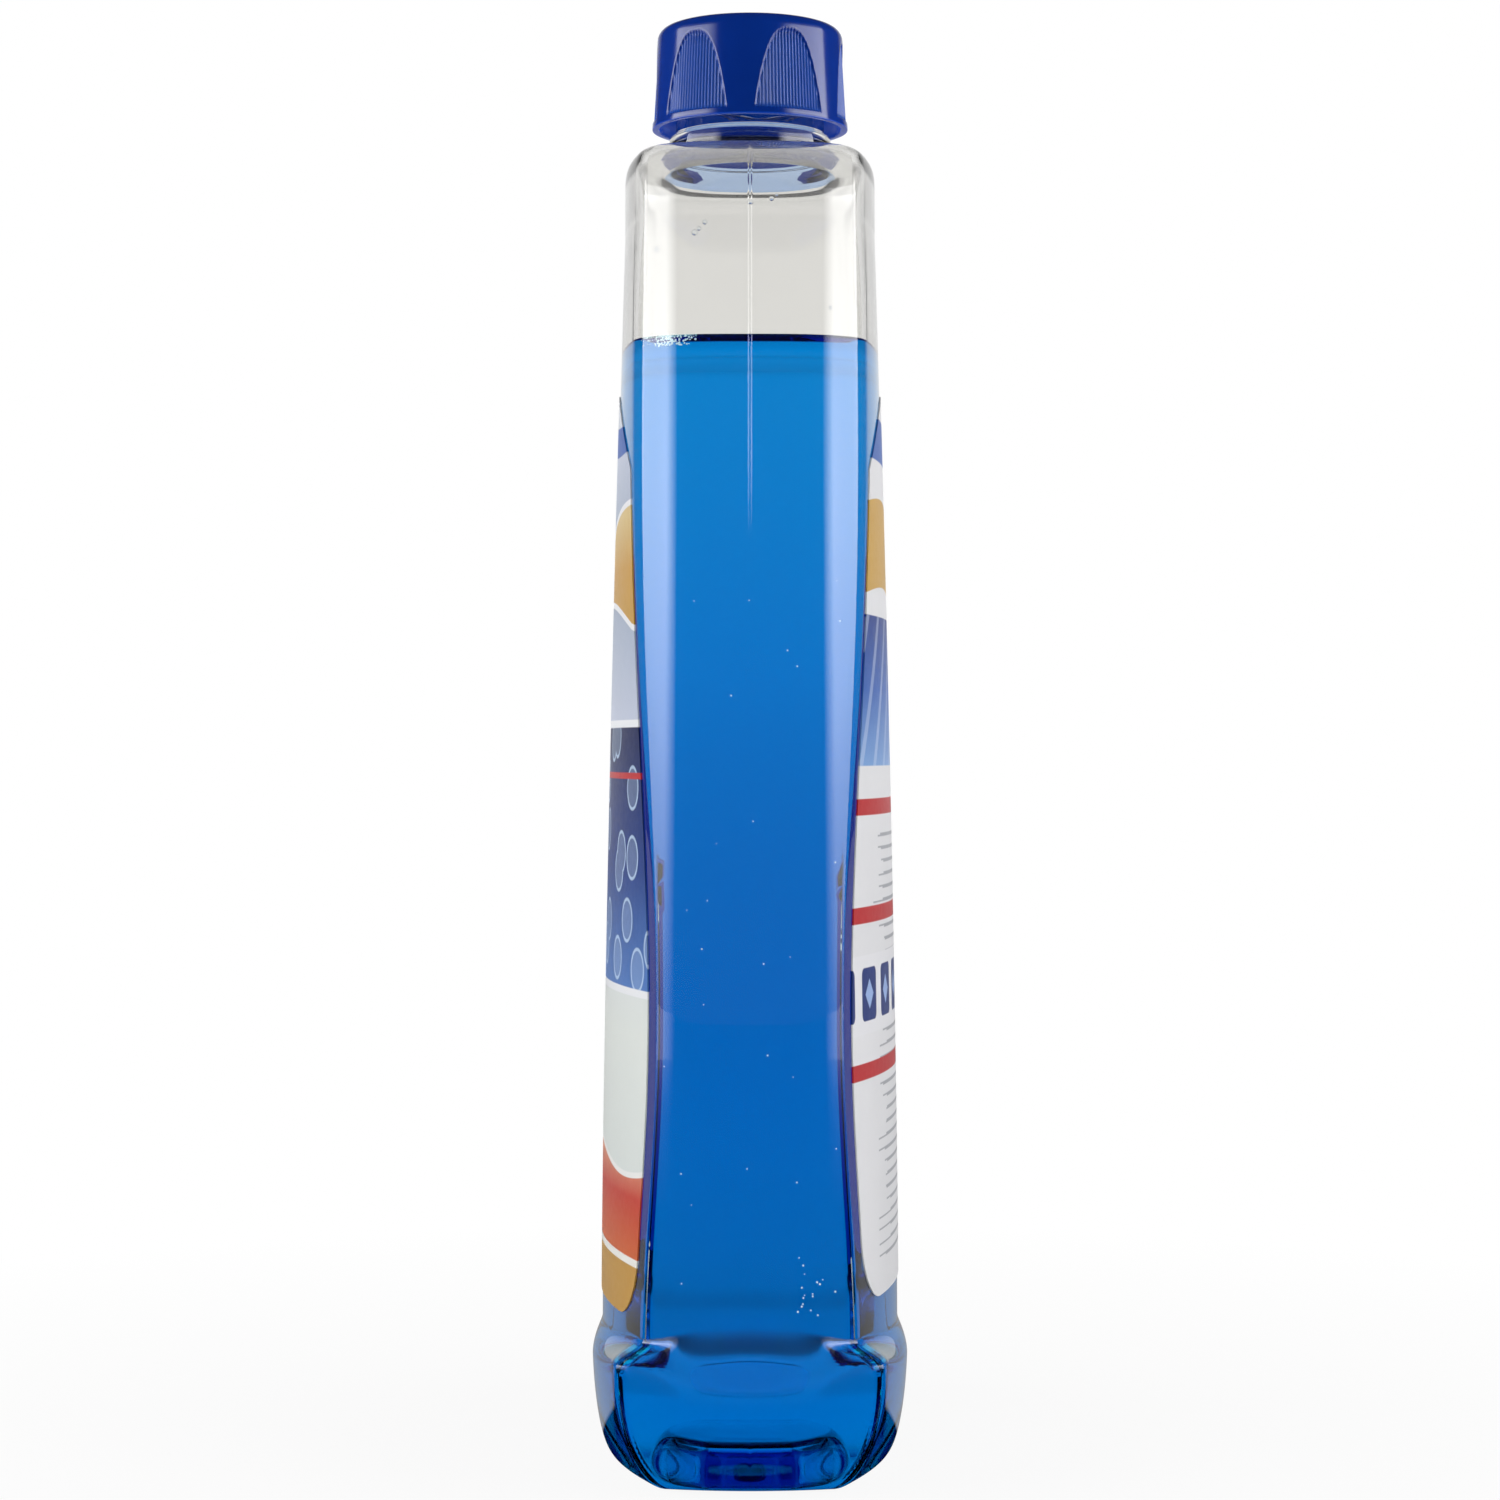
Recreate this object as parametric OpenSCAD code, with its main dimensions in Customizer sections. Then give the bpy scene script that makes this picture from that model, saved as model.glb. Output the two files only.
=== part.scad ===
// A flat clear bottle of blue cleaner with a screw cap and two labels.
// Millimetres. The origin is the centre of the base, +Z is up, X runs across the wide
// faces and -Y is the front. The narrow sides face +X and -X.

/* [Body] */
// Height of the body from the table to the root of the neck
body_h = 215.5; // [190:0.5:250]
// Width across the widest place of the body
hip_w = 102; // [90:0.5:112]
// Height of the widest place
hip_z = 67; // [55:1:90]
// Width just above the foot
low_w = 96; // [88:0.5:106]
// Width of the body under the shoulder
top_w = 74; // [64:0.5:84]
// Depth of the body just above the foot
body_d = 49.5; // [44:0.5:54]
// Depth of the body under the shoulder
top_d = 41.9; // [38:0.1:46]
// How late the depth narrows on the way up
depth_ease = 1.45; // [1.1:0.05:2]
// Radius of the front and back faces at the hip
face_r = 121; // [115:1:150]
// Radius of the front and back faces under the shoulder
top_face_r = 156; // [130:1:220]
// Wall of the blown body
wall = 0.8; // [0.6:0.1:1.2]

/* [Narrow sides] */
// Width of the side panel just above the foot
side_low_w = 33.2; // [28:0.2:36]
// Width of the side panel at its waist
side_waist_w = 28.6; // [24:0.2:34]
// Height of the waist
side_waist_z = 75; // [60:1:95]
// Width of the side panel under the shoulder
side_top_w = 32.8; // [28:0.2:36]
// Bulge of the side panel under the shoulder
side_bulge = 4; // [2:0.1:5]
// Flatness of the side panel's middle, where 2 is a parabola
side_power = 3.5; // [2:0.1:4]
// Run of the rounded corner between face and side panel
corner_run = 2.5; // [2:0.1:4]
// The same run under the shoulder
top_corner_run = 5.5; // [4:0.1:7]

/* [Shoulder] */
// Height of the shoulder over the wide faces' ends
shoulder_end_h = 14; // [10:0.5:24]
// Height of the shoulder over the front and back
shoulder_face_h = 5.1; // [4:0.1:12]
// Fullness of the shoulder, where 2 is an ellipse
shoulder_power = 2.9; // [2:0.1:3.2]

/* [Foot] */
// Width of the foot
foot_w = 101.5; // [94:0.5:112]
// Depth of the foot
foot_d = 52.8; // [51:0.2:57]
// Height at which the front of the foot starts to draw in
foot_h = 16.2; // [14.5:0.1:18]
// Height of the ledge above it
ledge_h = 6.1; // [4:0.1:8]
// Height at which the ledge starts at the corners
corner_ledge_z = 20.8; // [19:0.1:22]
// Height of the ledge at the corners
corner_ledge_h = 3.8; // [3:0.1:5]
// Width of the side panel on the foot
foot_side_w = 41.2; // [38:0.2:43]
// Bulge of the foot's side panel
foot_bulge = 4.5; // [3:0.1:6]
// Flatness of that panel's middle
foot_power = 2; // [2:0.1:4]
// Radius of the foot's front and back faces
foot_face_r = 200; // [180:1:300]
// Height of the rounded lower edge
foot_round = 20.4; // [12:0.2:24]
// How far the ends draw in at the table
end_tuck = 12.7; // [8:0.1:15]
// How far the front and back draw in at the table
face_tuck = 3.4; // [1.6:0.1:4.4]
// How far the side panel's edges draw in at the table
crease_tuck = 8.4; // [6:0.2:10]
// Bulge of the side panel at the table
table_bulge = 1.1; // [0.6:0.1:2]
// Radius of the front and back outline at the table
table_face_r = 68; // [60:1:120]
// Run of the rounded corner at the table
table_corner_run = 6.6; // [5:0.1:9]
// Width of the push-up where it leaves the table
push_w = 58; // [50:1:64]
// Depth of the push-up where it leaves the table
push_d = 30; // [24:1:36]
// Share of the push-up's size that its flat top keeps
push_top = 0.66; // [0.5:0.02:0.8]
// Height of the push-up
push_h = 6.5; // [4:0.1:9]
// Thickness of the base
base_wall = 1.2; // [0.8:0.1:2]

/* [Neck] */
// Diameter of the plain collar at the root of the neck
collar_d = 27.2; // [26.6:0.1:28]
// Height of the collar above the body
collar_h = 4.2; // [3:0.1:5]
// Outside diameter of the neck
neck_d = 25; // [24:0.1:25.6]
// Diameter over the neck's thread
thread_d = 27.4; // [27:0.1:27.8]
// Bore of the neck
neck_bore = 21.6; // [19:0.1:22.4]
// Height of the neck above the body
neck_h = 19.7; // [18.5:0.1:21]
// Rise of the thread in one turn
thread_pitch = 4.23; // [3.8:0.01:4.6]
// Turns of thread, and of the cap from closed to free
thread_turns = 1.5; // [1:0.25:1.75]
// Height above the body at which the neck's thread starts
thread_start = 8.8; // [8:0.1:9.4]

/* [Cap] */
// Gap between the body and the cap's rim
cap_gap = 5.5; // [5:0.1:6.5]
// Diameter of the cap at its rim
cap_d = 33; // [32.6:0.1:36]
// Diameter of the cap where the top edge starts to round
cap_top_d = 31.2; // [31:0.1:33]
// Radius of the top edge
cap_edge_r = 2; // [1.2:0.1:2.6]
// Thickness of the cap's top
cap_top_t = 1.6; // [1.2:0.1:2]
// Clearance between the cap's wall and the neck's thread
thread_gap = 0.45; // [0.35:0.05:0.6]
// Height of the wider mouth inside the rim
mouth_h = 1.6; // [1:0.1:2.2]
// Wall of the skirt at its rim
rim_wall = 1.2; // [0.9:0.1:1.4]
// Number of grip fields around the cap
fields = 6; // [5:1:7]
// Width of a grip field at its foot
field_w = 13.8; // [10:0.1:14]
// Height of the plain lip below the grip fields
lip_h = 1; // [0.6:0.1:2]
// Height of a grip field
field_h = 13.3; // [10:0.1:13.6]
// Depth of a grip field
field_depth = 0.4; // [0.2:0.05:0.5]
// Direction of the first grip field from +X
field_turn = -33; // [-60:1:60]
// Thickness of the sealing wad
liner_t = 1.1; // [0.8:0.1:1.4]
// Gap between the wad and the rim of the neck
liner_gap = 0.05; // [0.02:0.01:0.1]

/* [Contents] */
// Height of the liquid's surface above the table
fill_h = 182.7; // [120:0.5:190]
// Gap between the liquid and the wall
liquid_gap = 0.1; // [0.05:0.05:0.2]

/* [Labels] */
// Height of the label's arched top above the table
label_top = 176; // [165:1:182]
// Rise of the arch over the label's corners
label_arch = 14.7; // [8:0.5:20]
// Height of the front label's lower edge
front_label_low = 27.1; // [26:0.1:40]
// Height of the back label's lower edge
back_label_low = 29.6; // [26:0.1:40]
// Radius of the label's lower corners
label_corner_r = 10; // [6:0.5:14]
// Margin between the label and the body's rounded corner
label_margin = 0.8; // [0.5:0.1:4]
// Thickness of a label
label_t = 0.15; // [0.1:0.01:0.3]
// Gap between a label and the body
label_gap = 0.1; // [0.08:0.01:0.15]

/* [Hidden] */
$fn = 72;
face_steps = 6;
corner_steps = 4;
side_steps = 4;
quarter_n = face_steps + corner_steps + side_steps + 1;
ring_n = 4*(quarter_n - 1);
label_columns = 12;
label_rows = 12;
thread_facets = 30;
arc_steps = 5;
top_z = body_h - shoulder_end_h;
neck_top = body_h + neck_h;
cap_rim = body_h + cap_gap;
cap_inside_top = neck_top + liner_gap + liner_t + liner_gap;
cap_top = cap_inside_top + cap_top_t;
cap_bore_r = thread_d/2 + thread_gap;

// Numbers and blends
function ease(t) = let (s = min(1, max(0, t))) s*s*(3 - 2*s);
function mix(a, b, t) = a + (b - a)*t;
function bezier(a, b, c, t) = mix(mix(a, b, t), mix(b, c, t), t);

// Half depth, half width, side panel and face radius of the body at height z
function body_y(z) = let (t = min(1, max(0, (z - foot_h - ledge_h)/(top_z - foot_h - ledge_h))))
    mix(body_d, top_d, pow(t, depth_ease))/2;
function body_x(z) = mix(mix(low_w, hip_w, ease((z - corner_ledge_z)/(hip_z - corner_ledge_z))),
    top_w, ease((z - hip_z)/(top_z - hip_z)))/2;
function crease_y(z) = mix(
    mix(side_low_w, side_waist_w, ease((z - corner_ledge_z)/(side_waist_z - corner_ledge_z))),
    side_top_w, ease((z - side_waist_z)/(top_z - side_waist_z)))/2;
function high(z) = ease((z - side_waist_z)/(top_z - side_waist_z));
function face_radius(z) = mix(face_r, top_face_r, high(z));
function run(z) = mix(corner_run, top_corner_run, high(z));

// How far the panel's edges lie behind its middle: one curve, which the waist cuts shorter
function panel_drop(z) = side_bulge*pow(2*crease_y(z)/side_top_w, side_power);

// One quarter of a section, from the middle of the front face to the middle of the side
// panel: the face is a parabola, the panel a flatter curve, and a bezier rounds the corner.
function quarter(half_w, half_d, crease, bulge, radius, run, power) =
    let (crease_x = half_w - bulge,
         end_x = crease_x - run,
         end_y = half_d - end_x*end_x/(2*radius),
         fall = end_x/radius,
         lean = power*bulge/crease,
         reach = (run - lean*(end_y - crease))/(1 - lean*fall),
         knee = [end_x + reach, end_y - fall*reach])
    concat(
        [for (i = [0:face_steps - 1]) let (x = end_x*i/face_steps) [x, half_d - x*x/(2*radius)]],
        [for (i = [0:corner_steps - 1])
            bezier([end_x, end_y], knee, [crease_x, crease], i/corner_steps)],
        [for (i = [0:side_steps]) let (y = crease*(1 - i/side_steps))
            [half_w - bulge*pow(y/crease, power), y]]);

function body_quarter(z) =
    quarter(body_x(z), body_y(z), crease_y(z), panel_drop(z), face_radius(z), run(z), side_power);
function foot_quarter(z) =
    let (tuck = 1 - sqrt(1 - pow(max(0, 1 - z/foot_round), 2)))
    quarter(foot_w/2 - end_tuck*tuck, foot_d/2 - face_tuck*tuck,
        foot_side_w/2 - crease_tuck*tuck, mix(foot_bulge, table_bulge, tuck),
        1/mix(1/foot_face_r, 1/table_face_r, tuck), mix(corner_run, table_corner_run, tuck),
        foot_power);

// Share of the body's section, not the foot's, at point i of a quarter. The ledge is low in the
// middle of the faces, high at the corners, and fades out on the side panel.
function ledge(i, z) =
    let (across = pow(min(1, i/face_steps), 2),
         around = ease(1.5*(i - face_steps - corner_steps)/side_steps),
         low = mix(mix(foot_h, corner_ledge_z, across), foot_h - 1, around),
         height = mix(mix(ledge_h, corner_ledge_h, across), 2.2*ledge_h, around))
    ease((z - low)/height);

// Share of the body's section, not the neck's, in the shoulder
function shoulder(z, height) =
    pow(max(0, 1 - pow(max(0, 1 - (body_h - z)/height), shoulder_power)), 1/shoulder_power);

// One quarter of the outside at height z
function outline_quarter(z) =
    let (foot = foot_quarter(z), body = body_quarter(z),
         ends = shoulder(z, shoulder_end_h), faces = shoulder(z, shoulder_face_h))
    [for (i = [0:quarter_n - 1])
        let (p = mix(foot[i], body[i], ledge(i, z)), turn = 90*i/(quarter_n - 1))
        [mix(collar_d/2*sin(turn), p.x, ends), mix(collar_d/2*cos(turn), p.y, faces)]];

// A whole ring from its quarter, and the same ring moved inwards
function ring(q) = let (n = len(q)) concat(
    q,
    [for (i = [n - 2:-1:0]) [q[i].x, -q[i].y]],
    [for (i = [1:n - 1]) [-q[i].x, -q[i].y]],
    [for (i = [n - 2:-1:1]) [-q[i].x, q[i].y]]);
function inset(points, by) = let (n = len(points))
    [for (i = [0:n - 1])
        let (along = points[(i + 1)%n] - points[(i + n - 1)%n], across = [along.y, -along.x])
        points[i] + by*across/norm(across)];
function raised(points, z) = [for (p = points) [p.x, p.y, z]];

// The ring that lies the given distance inside the outside one of height z. It is raised over
// the base, and lowered under the ledge and the shoulder, so that the wall stays even.
function lift(z, by) = by == 0 ? 0 : mix(base_wall + by - wall, -by, ease((z - 1)/(foot_h - 2)));
function skin(z, by) = raised(inset(ring(outline_quarter(z)), by), z + lift(z, by));

// Heights of the rings from the table to the root of the neck
function levels() = concat(
    [for (i = [0:4]) foot_h*(1 - cos(18*i))],
    [for (i = [0:7]) foot_h + 2*ledge_h*i/7],
    [for (i = [1:9]) mix(foot_h + 2*ledge_h, top_z, i/10)],
    [for (i = [0:8]) mix(top_z, body_h, sin(11.25*i))]);

// Rings of the push-up from its flat top down to the table
function push_ring(share, z) = let (flat_ring = ring(outline_quarter(0)))
    [for (p = flat_ring) [p.x*share*push_w/2/flat_ring[quarter_n - 1].x,
        p.y*share*push_d/2/flat_ring[0].y, z]];
function push_up(lift) =
    [for (i = [0:4]) push_ring(mix(push_top, 1, i/4), lift + push_h*(1 - ease(i/4)))];

function reversed(list) = [for (i = [len(list) - 1:-1:0]) list[i]];
function flat(lists) = [for (l = lists) each l];

// A closed solid through rings of equal length, capped at both ends
module loft(rings) {
    n = len(rings[0]);
    last = len(rings) - 1;
    sides = [for (k = [0:last - 1], i = [0:n - 1])
        let (a = k*n + i, b = k*n + (i + 1)%n)
        each [[a, b, b + n], [a, b + n, a + n]]];
    polyhedron(flat(rings), concat(
        [[for (i = [n - 1:-1:0]) i]], sides, [[for (i = [0:n - 1]) last*n + i]]),
        convexity = 8);
}

// A thread ridge along a helix, on a wall of radius wall_r, whose crest is at crest_r.
// Both ends sink into the wall.
module thread_ridge(wall_r, crest_r, foot_w, crest_w, start_z) {
    steps = round(thread_facets*thread_turns);
    bury = (wall_r > crest_r ? 1 : -1)*0.3;
    loft([for (i = [0:steps])
        let (turn = 360*thread_turns*i/steps,
             z = start_z + thread_pitch*turn/360,
             grown = ease(min(i, steps - i)/3),
             crest = mix(wall_r + bury/2, crest_r, grown),
             side = [cos(turn), sin(turn)],
             corners = [[wall_r + bury, -foot_w/2], [crest, -crest_w/2],
                 [crest, crest_w/2], [wall_r + bury, foot_w/2]],
             order = wall_r > crest_r ? reversed(corners) : corners)
        [for (c = order) [c.x*side.x, c.x*side.y, z + c.y]]]);
}

module neck() {
    lip = 0.6;
    rotate_extrude() polygon([
        [neck_bore/2, body_h - 0.1], [collar_d/2, body_h - 0.1],
        [collar_d/2, body_h + collar_h], [neck_d/2, body_h + collar_h + 0.8],
        [neck_d/2, neck_top - lip], [neck_d/2 - lip, neck_top], [neck_bore/2, neck_top]]);
    thread_ridge(neck_d/2, thread_d/2, 2.2, 1, body_h + thread_start);
}

// The blown shell: outside, neck ring, then inside back down to the top of the push-up
module bottle() {
    stub = 0.8;
    color([0.86, 0.9, 0.93, 0.5]) union() {
        loft(concat(
            push_up(0),
            [for (z = levels()) if (z < body_h) skin(z, 0)],
            [for (z = [body_h, body_h + stub]) raised(collar_ring(collar_d/2 - 0.3), z)],
            [for (z = [body_h + stub, body_h - wall]) raised(collar_ring(neck_bore/2 + 0.3), z)],
            [for (z = reversed(levels())) if (z < body_h) skin(z, wall)],
            reversed(push_up(base_wall))));
        neck();
    }
}
function collar_ring(r) =
    [for (i = [0:ring_n - 1]) let (turn = 360*i/ring_n) [r*sin(turn), r*cos(turn)]];

module cleaning_liquid() {
    inside = wall + liquid_gap;
    surface = fill_h + inside;
    color([0, 0.4, 0.78, 0.8])
    loft(concat(
        push_up(base_wall + liquid_gap),
        [for (z = levels()) if (z < surface - 2) skin(z, inside)],
        [skin(surface, inside)]));
}

// The cap: a drafted skirt with a rounded top edge, arched grip fields sunk into it,
// a wider mouth inside the rim, and a thread
module cap() {
    edge_z = cap_top - cap_edge_r;
    top_r = cap_top_d/2;
    draft = (cap_d/2 - top_r)/(edge_z - cap_rim);
    color([0.05, 0.27, 0.64]) union() {
        difference() {
            rotate_extrude() polygon(concat(
                [[0, cap_rim], [cap_d/2, cap_rim]],
                [for (i = [0:arc_steps]) let (a = 90*i/arc_steps)
                    [top_r - cap_edge_r*(1 - cos(a)), edge_z + cap_edge_r*sin(a)]],
                [[0, cap_top]]));
            rotate_extrude() polygon([
                [0, cap_rim - 1], [cap_d/2 - rim_wall, cap_rim - 1],
                [cap_d/2 - rim_wall, cap_rim + mouth_h],
                [cap_bore_r, cap_rim + 2*mouth_h], [cap_bore_r, cap_inside_top],
                [0, cap_inside_top]]);
            intersection() {
                rotate_extrude() polygon([
                    [cap_d/2 - field_depth, cap_rim], [cap_d/2 + 2, cap_rim],
                    [cap_d/2 + 2, edge_z], [top_r - field_depth, edge_z]]);
                grip_fields();
            }
        }
        thread_ridge(cap_bore_r, neck_d/2 + thread_gap, 1.6, 0.9,
            body_h + thread_start + thread_pitch/2);
    }
}

// Six pointed arches, cut outwards from the axis
module grip_fields() {
    half_w = field_w/2;
    offset_x = (pow(field_h, 2) - pow(half_w, 2))/(2*half_w);
    for (k = [0:fields - 1])
        rotate([0, 0, field_turn + 360*k/fields]) translate([0, 0, cap_rim + lip_h])
        rotate([90, 0, 90]) translate([0, 0, cap_d/2 - 2]) linear_extrude(6) intersection() {
            translate([-offset_x, 0]) circle(offset_x + half_w);
            translate([offset_x, 0]) circle(offset_x + half_w);
            translate([-field_w, 0]) square([2*field_w, 2*field_h]);
        }
}

module cap_liner() {
    color([0.95, 0.95, 0.93]) translate([0, 0, neck_top + liner_gap])
        cylinder(r = cap_bore_r - 0.4, h = liner_t);
}

// A label: a thin sheet on the front or back face, with an arched top and round lower corners
function label_half(z) = body_x(z) - panel_drop(z) - run(z) - label_margin;
function label_point(across, up, low, lift) =
    let (reach = abs(across)*label_half(hip_z) - label_half(hip_z) + label_corner_r,
         corner = label_corner_r - sqrt(pow(label_corner_r, 2) - pow(max(0, reach), 2)),
         z = mix(low + corner, label_top - label_arch*pow(across, 2), up),
         x = across*label_half(z))
    [x, body_y(z) - x*x/(2*face_radius(z)) + lift, z];
module label(low) {
    m = label_columns;
    sheet = [for (lift = [label_gap, label_gap + label_t])
        [for (r = [0:label_rows], c = [0:m]) label_point(2*c/m - 1, r/label_rows, low, lift)]];
    n = len(sheet[0]);
    w = m + 1;
    cells = [for (r = [0:label_rows - 1], c = [0:m - 1]) r*w + c];
    rim = concat([for (c = [0:m - 1]) c], [for (r = [0:label_rows - 1]) r*w + m],
        [for (c = [m:-1:1]) label_rows*w + c], [for (r = [label_rows:-1:1]) r*w]);
    polyhedron(flat(sheet), concat(
        [for (a = cells) each [[a, a + 1, a + w + 1], [a, a + w + 1, a + w]]],
        [for (a = cells) each [[a + n, a + w + 1 + n, a + 1 + n], [a + n, a + w + n, a + w + 1 + n]]],
        [for (i = [0:len(rim) - 1]) let (a = rim[i], b = rim[(i + 1)%len(rim)])
            each [[a, a + n, b + n], [a, b + n, b]]]), convexity = 4);
}
module front_label() {
    color([0.9, 0.91, 0.95]) rotate([0, 0, 180]) label(front_label_low);
}
module back_label() {
    color([0.93, 0.93, 0.93]) label(back_label_low);
}

bottle();
cleaning_liquid();
cap();
cap_liner();
front_label();
back_label();
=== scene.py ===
"""Looks of the all-purpose cleaner bottle: a clear blown bottle of blue cleaner with a ribbed screw cap
and printed film labels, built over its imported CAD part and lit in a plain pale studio."""

import logging
import math
from dataclasses import dataclass, field, replace
from enum import Enum
from typing import Mapping, Sequence, Union

import bpy
import numpy as np
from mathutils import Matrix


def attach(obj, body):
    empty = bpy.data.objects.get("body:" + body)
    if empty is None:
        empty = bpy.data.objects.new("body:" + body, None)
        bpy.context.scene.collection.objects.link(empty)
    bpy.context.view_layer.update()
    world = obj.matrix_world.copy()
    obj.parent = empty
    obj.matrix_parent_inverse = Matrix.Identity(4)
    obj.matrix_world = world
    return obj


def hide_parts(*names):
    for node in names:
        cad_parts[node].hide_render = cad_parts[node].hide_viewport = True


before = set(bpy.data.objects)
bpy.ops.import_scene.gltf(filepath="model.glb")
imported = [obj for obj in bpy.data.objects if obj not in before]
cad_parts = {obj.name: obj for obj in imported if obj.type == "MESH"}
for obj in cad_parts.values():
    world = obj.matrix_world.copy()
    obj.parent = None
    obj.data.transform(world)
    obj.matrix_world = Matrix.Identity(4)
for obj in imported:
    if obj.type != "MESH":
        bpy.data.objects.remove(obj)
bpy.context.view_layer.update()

MM = 0.001
LOG = logging.getLogger("cleaner_bottle")

Colour = tuple[float, float, float, float]
Number = Union[float, "Wire"]
Loop = np.ndarray


class Body(Enum):
    """The CAD bodies that the pieces ride on."""

    BOTTLE = "filled_bottle"
    WAD = "wad"
    CAP = "screw_cap"


class Face(Enum):
    """The two wide faces of the bottle: the sign is the side of the Y axis that each looks to."""

    FRONT = -1
    BACK = 1


def rgb(red: int, green: int, blue: int) -> Colour:
    """Turns a display colour into the linear one that a shader takes.

    Args:
        red: Red from 0 to 255.
        green: Green from 0 to 255.
        blue: Blue from 0 to 255.

    Returns:
        The linear colour with full alpha.
    """
    shares = [channel / 255 for channel in (red, green, blue)]
    linear = [s / 12.92 if s <= 0.04045 else ((s + 0.055) / 1.055) ** 2.4 for s in shares]
    return (linear[0], linear[1], linear[2], 1.0)


def ease(share: Union[float, np.ndarray]) -> Union[float, np.ndarray]:
    """Returns the smooth step of a share, held between 0 and 1."""
    held = np.clip(share, 0, 1)
    return held * held * (3 - 2 * held)


def mix(low: Union[float, np.ndarray], high: Union[float, np.ndarray],
        share: Union[float, np.ndarray]) -> Union[float, np.ndarray]:
    """Returns the value at a share of the way from low to high."""
    return low + (high - low) * share


class Wire:
    """An output socket that takes part in arithmetic: an expression on wires adds its Math nodes."""

    def __init__(self, painter: "Painter", socket: bpy.types.NodeSocket) -> None:
        """Keeps the socket and the painter whose tree it is in.

        Args:
            painter: The painter that adds nodes to the socket's tree.
            socket: The output socket.
        """
        self.painter = painter
        self.socket = socket

    def __add__(self, other: Number) -> "Wire":
        """Returns self + other."""
        return self.painter.math("ADD", self, other)

    def __radd__(self, other: Number) -> "Wire":
        """Returns other + self."""
        return self.painter.math("ADD", other, self)

    def __sub__(self, other: Number) -> "Wire":
        """Returns self - other."""
        return self.painter.math("SUBTRACT", self, other)

    def __rsub__(self, other: Number) -> "Wire":
        """Returns other - self."""
        return self.painter.math("SUBTRACT", other, self)

    def __mul__(self, other: Number) -> "Wire":
        """Returns self * other."""
        return self.painter.math("MULTIPLY", self, other)

    def __truediv__(self, other: Number) -> "Wire":
        """Returns self / other."""
        return self.painter.math("DIVIDE", self, other)

    def clamped(self) -> "Wire":
        """Returns the value held between 0 and 1."""
        return self.painter.wire("ShaderNodeClamp", {}, {"Value": self})

    def absolute(self) -> "Wire":
        """Returns the value without its sign."""
        return self.painter.math("ABSOLUTE", self)

    def sine(self) -> "Wire":
        """Returns the sine of the value."""
        return self.painter.math("SINE", self)

    def repeated(self, period: float) -> "Wire":
        """Returns the value wrapped into half a period on either side of nought."""
        return self.painter.math("WRAP", self, period / 2, -period / 2)

    def above(self, limit: Number, soft: float) -> "Wire":
        """Returns a mask that is 1 over the limit and 0 under it, with an edge as wide as soft."""
        return ((self - limit) / soft + 0.5).clamped()

    def below(self, limit: Number, soft: float) -> "Wire":
        """Returns a mask that is 1 under the limit and 0 over it, with an edge as wide as soft."""
        return 1 - self.above(limit, soft)


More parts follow.
